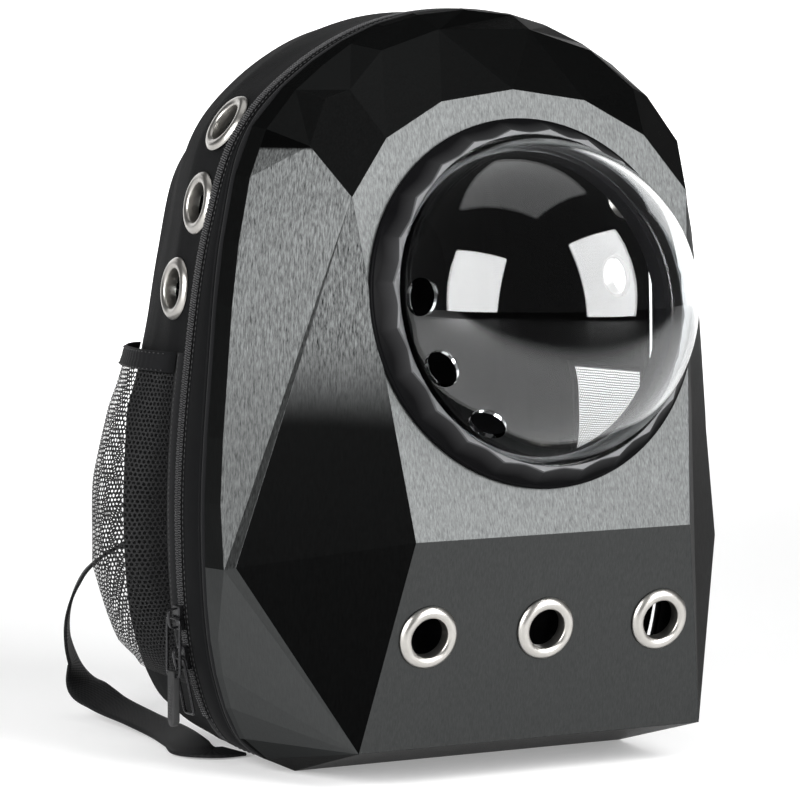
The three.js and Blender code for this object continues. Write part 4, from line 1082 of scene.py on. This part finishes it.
def make_pocket():
    along = np.linspace(0, 1, 45)
    heights = np.linspace(44.3, 213.4, 57)
    a, z = np.meshgrid(along, heights, indexing="ij")
    pull = 1.1 * np.sin(a * 23 + z * 0.05) * np.sin(np.pi * a) * np.clip((z - 150) / 60, 0, 1)
    sag = 0.8 * np.sin(a * 7 + z * 0.06) * np.sin(np.pi * a) * np.clip((z - 50) / 40, 0, 1)
    points = pocket_point(a, z, 0.6 - abs(pull) * 0.6 + np.minimum(sag, 0.3))
    span = np.linalg.norm(np.diff(points, axis=0), axis=2).sum(axis=0).max()
    rise = np.linalg.norm(np.diff(points, axis=1), axis=2).sum(axis=1).max()
    net_sheet("pocket_net_cloth", points, POCKET_NET, "pocket_net",
              (span * MM * 1.01, rise * MM * 1.01))
    # elastic hem, gathered a little, doubled over its cord
    rows = []
    columns = np.linspace(0, 1, 121)
    gather = 0.1 * np.sin(columns * 150) * np.clip(np.sin(np.pi * columns) * 3, 0, 1)
    section = [(0, 0.3), (0, 1.2), (0.1, 1.9), (0.3, 2.1), (0.5, 1.8),
               (0.7, 2.1), (0.9, 1.9), (1, 1.2), (1, 0.3)]
    for top, offset in section:
        rows.append(pocket_point(columns, 214.0 + 11 * top, offset + gather * (0 < top < 1)))
    hem = swept("pocket_hem_band", np.stack(rows, axis=1), BINDING)
    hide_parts("pocket_hem")
    for word, level in (("low", 214.9), ("high", 223.9)):
        mid = pocket_point(columns[3:-3], level, 2.0)
        outer = pocket_point(columns[3:-3], level, 3.0)
        row = stitches(f"pocket_hem_stitches_{word}", mid, outer - mid, 3.0, 2.0, 0.1)
    # plain tape between the zip's seam and the net
    heights = np.linspace(44, 225, 60)
    rows = []
    for shift, offset in ((-10.5, 0.05), (-10.2, 0.55), (-4.5, 0.8), (0.8, 1.15), (1.2, 0.8), (1.2, 0.05)):
        rows.append(on_side(-1, heights, zip_back(heights) + 17.5 + shift, offset + 0.05))
    tape = swept("pocket_front_tape", np.stack(rows, axis=1), BINDING)
    path = on_side(-1, heights, zip_back(heights) + 15.8, 1.1)
    row = stitches("pocket_front_stitches", path, np.tile([-1.0, 0, 0], (60, 1)), 3.0, 2.0, 0.05)


# Zip sliders and pulls


def zip_frame(share):
    rim = outline([share])[0]
    origin = rim_path(rim, 0, zip_back(rim[1]))[0]
    normal = unit(np.array([rim[2], 0, rim[3]]))
    up = unit(np.array([normal[2], 0, -normal[0]]))
    return origin, np.cross(up, normal), up, normal


def at_frame(f, points, swing=0.0, pin=0.0):
    origin, x, y, n = f
    p = np.asarray(points, float)
    a = math.radians(-swing)
    py = p[..., 1] * math.cos(a) - p[..., 2] * math.sin(a)
    pz = p[..., 1] * math.sin(a) + p[..., 2] * math.cos(a) + pin
    return origin + p[..., :1] * x + py[..., None] * y + pz[..., None] * n


PIN = 0.2 + 3 + 5.2 * 0.32
PULL_LENGTH = 31


def make_slider(share, name):
    f = zip_frame(share)
    w, l = 4.25, 6.5
    waist = lambda t: w * (1 - 0.16 * np.cos(t * np.pi / 2) ** 2) * (1 - 0.1 * abs(t) ** 6)
    rows = []
    for t in np.linspace(-1, 1, 25):
        half = waist(t)
        edge = 0.6 * min(1, (1 - abs(t)) * 8 + 0.3)
        section = [(-half, 0.6), (-half + edge, 0.2), (half - edge, 0.2), (half, 0.6),
                   (half, 3.2 - edge), (half - edge, 3.2), (-half + edge, 3.2), (-half, 3.2 - edge)]
        rows.append(at_frame(f, [(a, t * l, b) for a, b in section]))
    body = swept(name + "_body", np.array(rows), LACQUER, sharp=35)
    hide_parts(name)
    half = [(5.1, 3.0), (5.0, 5.6), (4.3, 7.2), (2.5, 7.75)]
    path = [(0, -y, z) for y, z in half] + [(0, 0, 7.8)] + [(0, y, z) for y, z in half[::-1]]
    line = spline(path, 40)
    angle = np.linspace(0, 2 * np.pi, 10, endpoint=False)
    rows = []
    for k, p in enumerate(line):
        t = unit(line[min(k + 1, 39)] - line[max(k - 1, 0)])
        thin = np.cross(t, (1, 0, 0))
        ring = [p + np.array([1.45 * math.cos(a), 0, 0]) + thin * 0.55 * math.sin(a) for a in angle]
        rows.append(at_frame(f, ring))
    bridge = swept(name + "_bridge", np.array(rows), LACQUER)


def make_pull(share, swing, leg, name, body):
    f = zip_frame(share)
    corner = 2.2
    path = []
    corners = [(leg - corner, -corner), (leg - corner, corner - PULL_LENGTH),
               (corner - leg, corner - PULL_LENGTH), (corner - leg, -corner)]
    for (cx, cy), start in zip(corners, (90, 0, -90, -180)):
        for a in np.linspace(start, start - 90, 8):
            path.append((cx + corner * math.cos(math.radians(a)), cy + corner * math.sin(math.radians(a)), 0))
    path = np.array(path)
    middle = []
    for a, b in zip(path, np.roll(path, -1, axis=0)):
        middle += [a + (b - a) * t for t in np.linspace(0, 1, 4, endpoint=False)]
    line = np.array(middle)
    t = unit(np.roll(line, -1, axis=0) - np.roll(line, 1, axis=0))
    side = np.cross(t, (0, 0, 1))
    angle = np.linspace(0, 2 * np.pi, 12, endpoint=False)
    cos, sin = np.cos(angle)[None, :, None], np.sin(angle)[None, :, None]
    local = line[:, None] + 0.8 * (cos * side[:, None] + sin * np.array([0, 0, 1.0]))
    wire = swept(name + "_wire", at_frame(f, local, swing, PIN), LACQUER, closed=True, body=body)
    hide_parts(name)


def make_tab(share, swing):
    f = zip_frame(share)
    w, low, length, r, half = 3.75, -31.0, 28.0, 0.7, 1.9
    rim = [(w, low + 2.55), (w, low - length + w)]
    rim += [(w * math.cos(a), low - length + w + w * math.sin(a)) for a in np.linspace(0, -np.pi, 24)[1:-1]]
    rim += [(-w, low - length + w), (-w, low + 2.55)]
    rim = np.array(rim)
    layers = []
    edge = [(r, half), (r * 0.3, half - r * 0.3), (0, half - r)]
    for inset, height in [(inset, -height) for inset, height in edge] + edge[::-1]:
        centre = np.array([0, low - 10.0])
        shape = rim + unit(centre - rim) * inset
        layers.append(at_frame(f, np.column_stack([shape, np.full(len(shape), height)]), swing, PIN))
    tab = swept("pull_tab_rubber", np.array(layers), RUBBER, body="pull_upper", sharp=50)
    eye = rod_object(1.15, at_frame(f, [-9, low, 0], swing, PIN), at_frame(f, [9, low, 0], swing, PIN), 20)
    cut(tab, [eye])
    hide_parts("pull_tab")
    ribs = np.arange(low - 6, low - length + 5, -1.6)
    for word, height, way in (("outer", 1.88, 1), ("inner", -1.88, -1)):
        at = at_frame(f, [(0, y, height) for y in ribs], swing, PIN)
        across = np.tile(f[1], (len(ribs), 1))
        out = at_frame(f, [(0, y, height + way) for y in ribs], swing, PIN) - at
        size = (5.2, 0.7, 0.6)
        ribbed = repeated(f"pull_tab_ribs_{word}", at, across, out, size, RUBBER, body="pull_upper")


# Straps, pads and webbing


def padded_copy(node, name, material):
    """A cloth cover over the solid: remeshed, then filled by a short simulation that stays near it."""
    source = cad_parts[node]
    mesh = source.data.copy()
    obj = linked(name, mesh)
    mesh.transform(source.matrix_world)
    bm = bmesh.new()
    bm.from_mesh(mesh)
    bmesh.ops.remove_doubles(bm, verts=bm.verts, dist=1e-5)
    bmesh.ops.recalc_face_normals(bm, faces=bm.faces)
    bm.to_mesh(mesh)
    bm.free()
    mesh.materials.clear()
    remesh = obj.modifiers.new("Remesh", "REMESH")
    remesh.mode, remesh.voxel_size = "VOXEL", 0.0042
    apply_modifiers(obj)
    start = np.array([v.co[:] for v in obj.data.vertices])
    outward = np.array([v.normal[:] for v in obj.data.vertices])
    start = start - outward * 0.0012
    obj.data.vertices.foreach_set("co", start.ravel())
    obj.data.update()
    cloth = obj.modifiers.new("Cloth", "CLOTH")
    settings = cloth.settings
    settings.quality, settings.mass = 5, 0.2
    settings.use_pressure, settings.uniform_pressure_force = True, 4.0
    settings.effector_weights.gravity = 0
    settings.tension_stiffness = settings.compression_stiffness = 12
    settings.shear_stiffness, settings.bending_stiffness = 8, 0.4
    cloth.point_cache.frame_start, cloth.point_cache.frame_end = 1, 20
    scene = bpy.context.scene
    for step in range(1, 21):
        scene.frame_set(step)
    apply_modifiers(obj)
    scene.frame_set(1)
    moved = np.array([v.co[:] for v in obj.data.vertices]) - start
    length = np.linalg.norm(moved, axis=1, keepdims=True)
    moved *= np.minimum(1, 0.0016 / np.maximum(length, 1e-9))
    obj.data.vertices.foreach_set("co", (start + moved).ravel())
    smooth = obj.modifiers.new("Smooth", "SMOOTH")
    smooth.factor, smooth.iterations = 0.5, 3
    finer = obj.modifiers.new("Finer", "SUBSURF")
    finer.levels = finer.render_levels = 1
    apply_modifiers(obj)
    obj.data.materials.append(material)
    obj.data.polygons.foreach_set("material_index", np.zeros(len(obj.data.polygons), np.int32))
    smoothed(obj.data)
    obj.data.update()
    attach(obj, PACK)
    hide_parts(node)


WEBBING_LINE = [
    ((-84, 119, 115), (1, 0, 0)), ((-84, 127, 115), (1, 0, 0)),
    ((-89, 136, 112), (0.99, 0.1, 0.05)), ((-101, 146, 104), (0.9, 0.4, 0.1)),
    ((-117, 152, 95), (0.72, 0.65, 0.15)), ((-127, 161, 82), (0.5, 0.85, 0.12)),
    ((-133, 167, 63), (0.48, 0.87, 0.1)), ((-135, 165, 45), (0.48, 0.87, 0.15)),
    ((-131, 165, 31), (0.46, 0.8, 0.3)), ((-128, 157, 19), (0.62, 0.6, 0.4)),
    ((-124, 136, 11.5), (0.9, 0.2, 0.15)), ((-118, 102, 6), (1, 0, 0.05)),
    ((-116, 70, 3.2), (1, 0, 0.08)), ((-122, 35, 2.4), (0.99, 0.1, 0.05)),
    ((-128, 12, 2.2), (0.9, 0.35, 0.05)), ((-122, 2, 1.9), (0.4, 0.9, 0)),
    ((-108, 3, 1.5), (0, 1, 0)),
]
HANDLE_LINE = [((x, y, 334), (0, 0, 1)) for x, y in
               ((-46, 97.4), (-36, 97.6), (-22, 108), (0, 114), (22, 108), (36, 97.6), (46, 97.4))]


def make_straps():
    padded_copy("back_pad", "back_pad_cover", AIR_MESH)
    for side, word in ((-1, "left"), (1, "right")):
        padded_copy(f"shoulder_strap_{word}", f"shoulder_strap_{word}_cover", CLOTH)
        rows = strip_rows(WEBBING_LINE, 25, 1.75, 260, side=side)
        rows[..., 2] = np.maximum(rows[..., 2], 0.02)
        band = swept(f"strap_webbing_{word}_band", rows, WEBBING)
        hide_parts(f"strap_webbing_{word}")
        adjuster = make_adjuster(side)
        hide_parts(f"strap_adjuster_{word}")
    handle = swept("grab_handle_band", strip_rows(HANDLE_LINE, 24, 1.75, 80, side=-1), WEBBING)
    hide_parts("grab_handle")
    for x, word in ((-1, "left"), (1, "right")):
        low, high = 325.0, 343.0
        path = [(x * 45, 98.6, low), (x * 45, 98.6, high), (x * 38, 98.8, high), (x * 38, 98.8, low)]
        path.append(path[0])
        outward = np.tile([0, 1.0, 0], (40, 1))
        row = stitches(f"handle_stitches_{word}", spline(path, 40), outward, 2.6, 1.8, 0.0)


def make_adjuster(side):
    w, h, t, bar, slot = 18.0, 12.0, 2.5, 4.0, 6.0
    mesh = bpy.data.meshes.new(f"strap_adjuster_{'left' if side < 0 else 'right'}_ladder")
    bm = bmesh.new()
    xs = [-w, bar - w, w - bar, w]
    gap = (h * 2 - 2 * slot - bar) / 2
    zs = [-h, -h + gap, -h + gap + slot, h - gap - slot, h - gap, h]
    grid = {(i, k): [bm.verts.new((xs[i], y, zs[k])) for y in (-t, t)] for i in range(4) for k in range(6)}
    solid = lambda i, k: 0 <= i < 3 and 0 <= k < 5 and not (i == 1 and k in (1, 3))
    for i in range(3):
        for k in range(5):
            if not solid(i, k):
                continue
            a, b, c, d = grid[i, k], grid[i + 1, k], grid[i + 1, k + 1], grid[i, k + 1]
            bm.faces.new([a[0], b[0], c[0], d[0]])
            bm.faces.new([a[1], d[1], c[1], b[1]])
            around = (((i, k - 1), a, b), ((i + 1, k), b, c), ((i, k + 1), c, d), ((i - 1, k), d, a))
            for near, p, q in around:
                if not solid(*near):
                    bm.faces.new([p[0], p[1], q[1], q[0]])
    bmesh.ops.recalc_face_normals(bm, faces=bm.faces)
    bmesh.ops.dissolve_limit(bm, angle_limit=0.01, verts=bm.verts, edges=bm.edges)
    edges = [e for e in bm.edges if len(e.link_faces) == 2 and e.calc_face_angle(0) > 0.5]
    bmesh.ops.bevel(bm, geom=edges, offset=0.9, segments=3, affect="EDGES", profile=0.5, clamp_overlap=True)
    bmesh.ops.translate(bm, vec=(side * 84.0, 124.0, 120.0), verts=bm.verts)
    bmesh.ops.scale(bm, vec=(MM, MM, MM), verts=bm.verts)
    bm.to_mesh(mesh)
    bm.free()
    mesh.materials.append(GLOSS)
    smoothed(mesh)
    mesh.set_sharp_from_angle(angle=math.radians(35))
    obj = linked(mesh.name, mesh)
    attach(obj, PACK)
    return obj


def make_hinge():
    """The strip that joins the door to the bag below the zip's ends and under the floor edge."""
    end = 0.0447
    left = outline(np.linspace(end, 0.0, 24))
    x = np.linspace(left[-1, 0], -left[-1, 0], 60)[1:-1]
    base = np.column_stack([x, np.zeros_like(x), np.zeros_like(x), -np.ones_like(x)])
    right = left[::-1] * np.array([-1, 1, -1, 1])
    rim = np.vstack([left, base, right])
    section = [(1.4, 29.55), (1.4, 32.2), (1.55, 33.0), (1.4, 33.8), (1.4, 36.45),
               (2.75, 36.45), (2.75, 29.55)]
    strip = loft_rim("door_hinge_strip", rim, section, BINDING, closed=False)
    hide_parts("door_hinge_cloth")


# Building the pack

make_shell()
make_bezel()
make_bubble()
make_front_eyelets()
EYELETS = make_side_eyelets()
make_bead()
make_band()
make_zip()
make_bag()
make_window()
make_pocket()
make_slider(0.101, "zip_slider_upper")
make_slider(0.08, "zip_slider_lower")
make_pull(0.101, 6, 7.8, "zip_pull_upper", "pull_upper")
make_pull(0.08, 0, 5.7, "zip_pull_lower", PACK)
make_tab(0.101, 6)
make_straps()
make_hinge()

# Floor, light and camera


def studio_white(name, glow):
    """White sweep with painted light: it glows, dimmer in front of the pack than beside and behind it, as a
    sweep lit from behind is, and its colour is painted dark further in front.
    """
    s = Shader(name)
    grain = s.noise(s.place(), 3.0, 3.0)
    y = s.axes(s.place())[1]
    # painted light and shade: beyond y = -0.42 m in front of the pack the sweep is painted dark and glows
    # little; beside and behind it, it glows more the further back it is
    near = y.smooth(-0.75, -0.42)
    far = y.smooth(0.3, 2.2)
    colour = s.mix(near, (0.035, 0.035, 0.035), s.mix(grain, (0.74, 0.74, 0.74), (0.78, 0.78, 0.78)))
    light = near * glow + far * (0.95 - glow) + 0.004
    return s.finish(Base_Color=colour, Roughness=grain * 0.1 + 0.6, Specular_IOR_Level=0.1,
                    Emission_Color=s.mix(light, (0.0, 0.0, 0.0), (1.0, 1.0, 1.0)), Emission_Strength=1.0)


def stage_piece(name, verts, faces, material):
    mesh = bpy.data.meshes.new(name)
    mesh.from_pydata(verts, [], faces)
    mesh.materials.append(material)
    obj = linked(name, mesh)


def stage_and_light():
    """A white sweep, two tall softboxes, a dim one overhead and the camera."""
    around = [math.radians(10 * k) for k in range(36)]
    disc = [(5.4 * math.cos(a), 5.4 * math.sin(a), -0.0002) for a in around]
    stage_piece("floor", disc, [tuple(range(36))], studio_white("studio_floor", 0.25))
    arc = [math.radians(k) for k in range(10, 111, 10)]
    wall = [(5 * math.cos(a), 5 * math.sin(a), h) for a in arc for h in (-0.01, 3.0)]
    stage_piece("backdrop", wall, [(2 * k, 2 * k + 2, 2 * k + 3, 2 * k + 1) for k in range(len(arc) - 1)],
                studio_white("studio_backdrop", 0.95))
    world = bpy.data.worlds.new("studio")
    world.use_nodes = True
    world.node_tree.nodes["Background"].inputs[0].default_value = (1, 1, 1, 1)
    world.node_tree.nodes["Background"].inputs[1].default_value = 0.07
    scene = bpy.context.scene
    scene.world = world
    scene.view_settings.view_transform = "Standard"
    target = Vector((0, -0.14, 0.26))
    for name, where, size, power in (
        ("softbox_left", (-1.75, -0.66, 0.78), (1.3, 1.3), 60.0),
        ("softbox_right", (0.61, -1.49, 0.78), (1.15, 1.5), 60.0),
        ("overhead", (-0.1, 0.1, 2.1), (1.5, 1.8), 8.0),
    ):
        light = bpy.data.lights.new(name, "AREA")
        light.shape, light.size, light.size_y, light.energy = "RECTANGLE", size[0], size[1], power
        obj = linked(name, light)
        obj.location = where
        obj.rotation_euler = (target - Vector(where)).to_track_quat("-Z", "Y").to_euler()
    camera = bpy.data.cameras.new("camera")
    camera.lens, camera.sensor_width, camera.clip_end = 4100.3 / 800 * 36, 36, 120
    obj = linked("camera", camera)
    a, e = math.radians(-29.08), math.radians(4.96)
    back = Vector((math.sin(a) * math.cos(e), -math.cos(a) * math.cos(e), math.sin(e)))
    obj.location = (-1.1188, -2.0034, 0.3914)
    obj.rotation_euler = back.to_track_quat("Z", "Y").to_euler()
    scene.camera = obj


stage_and_light()
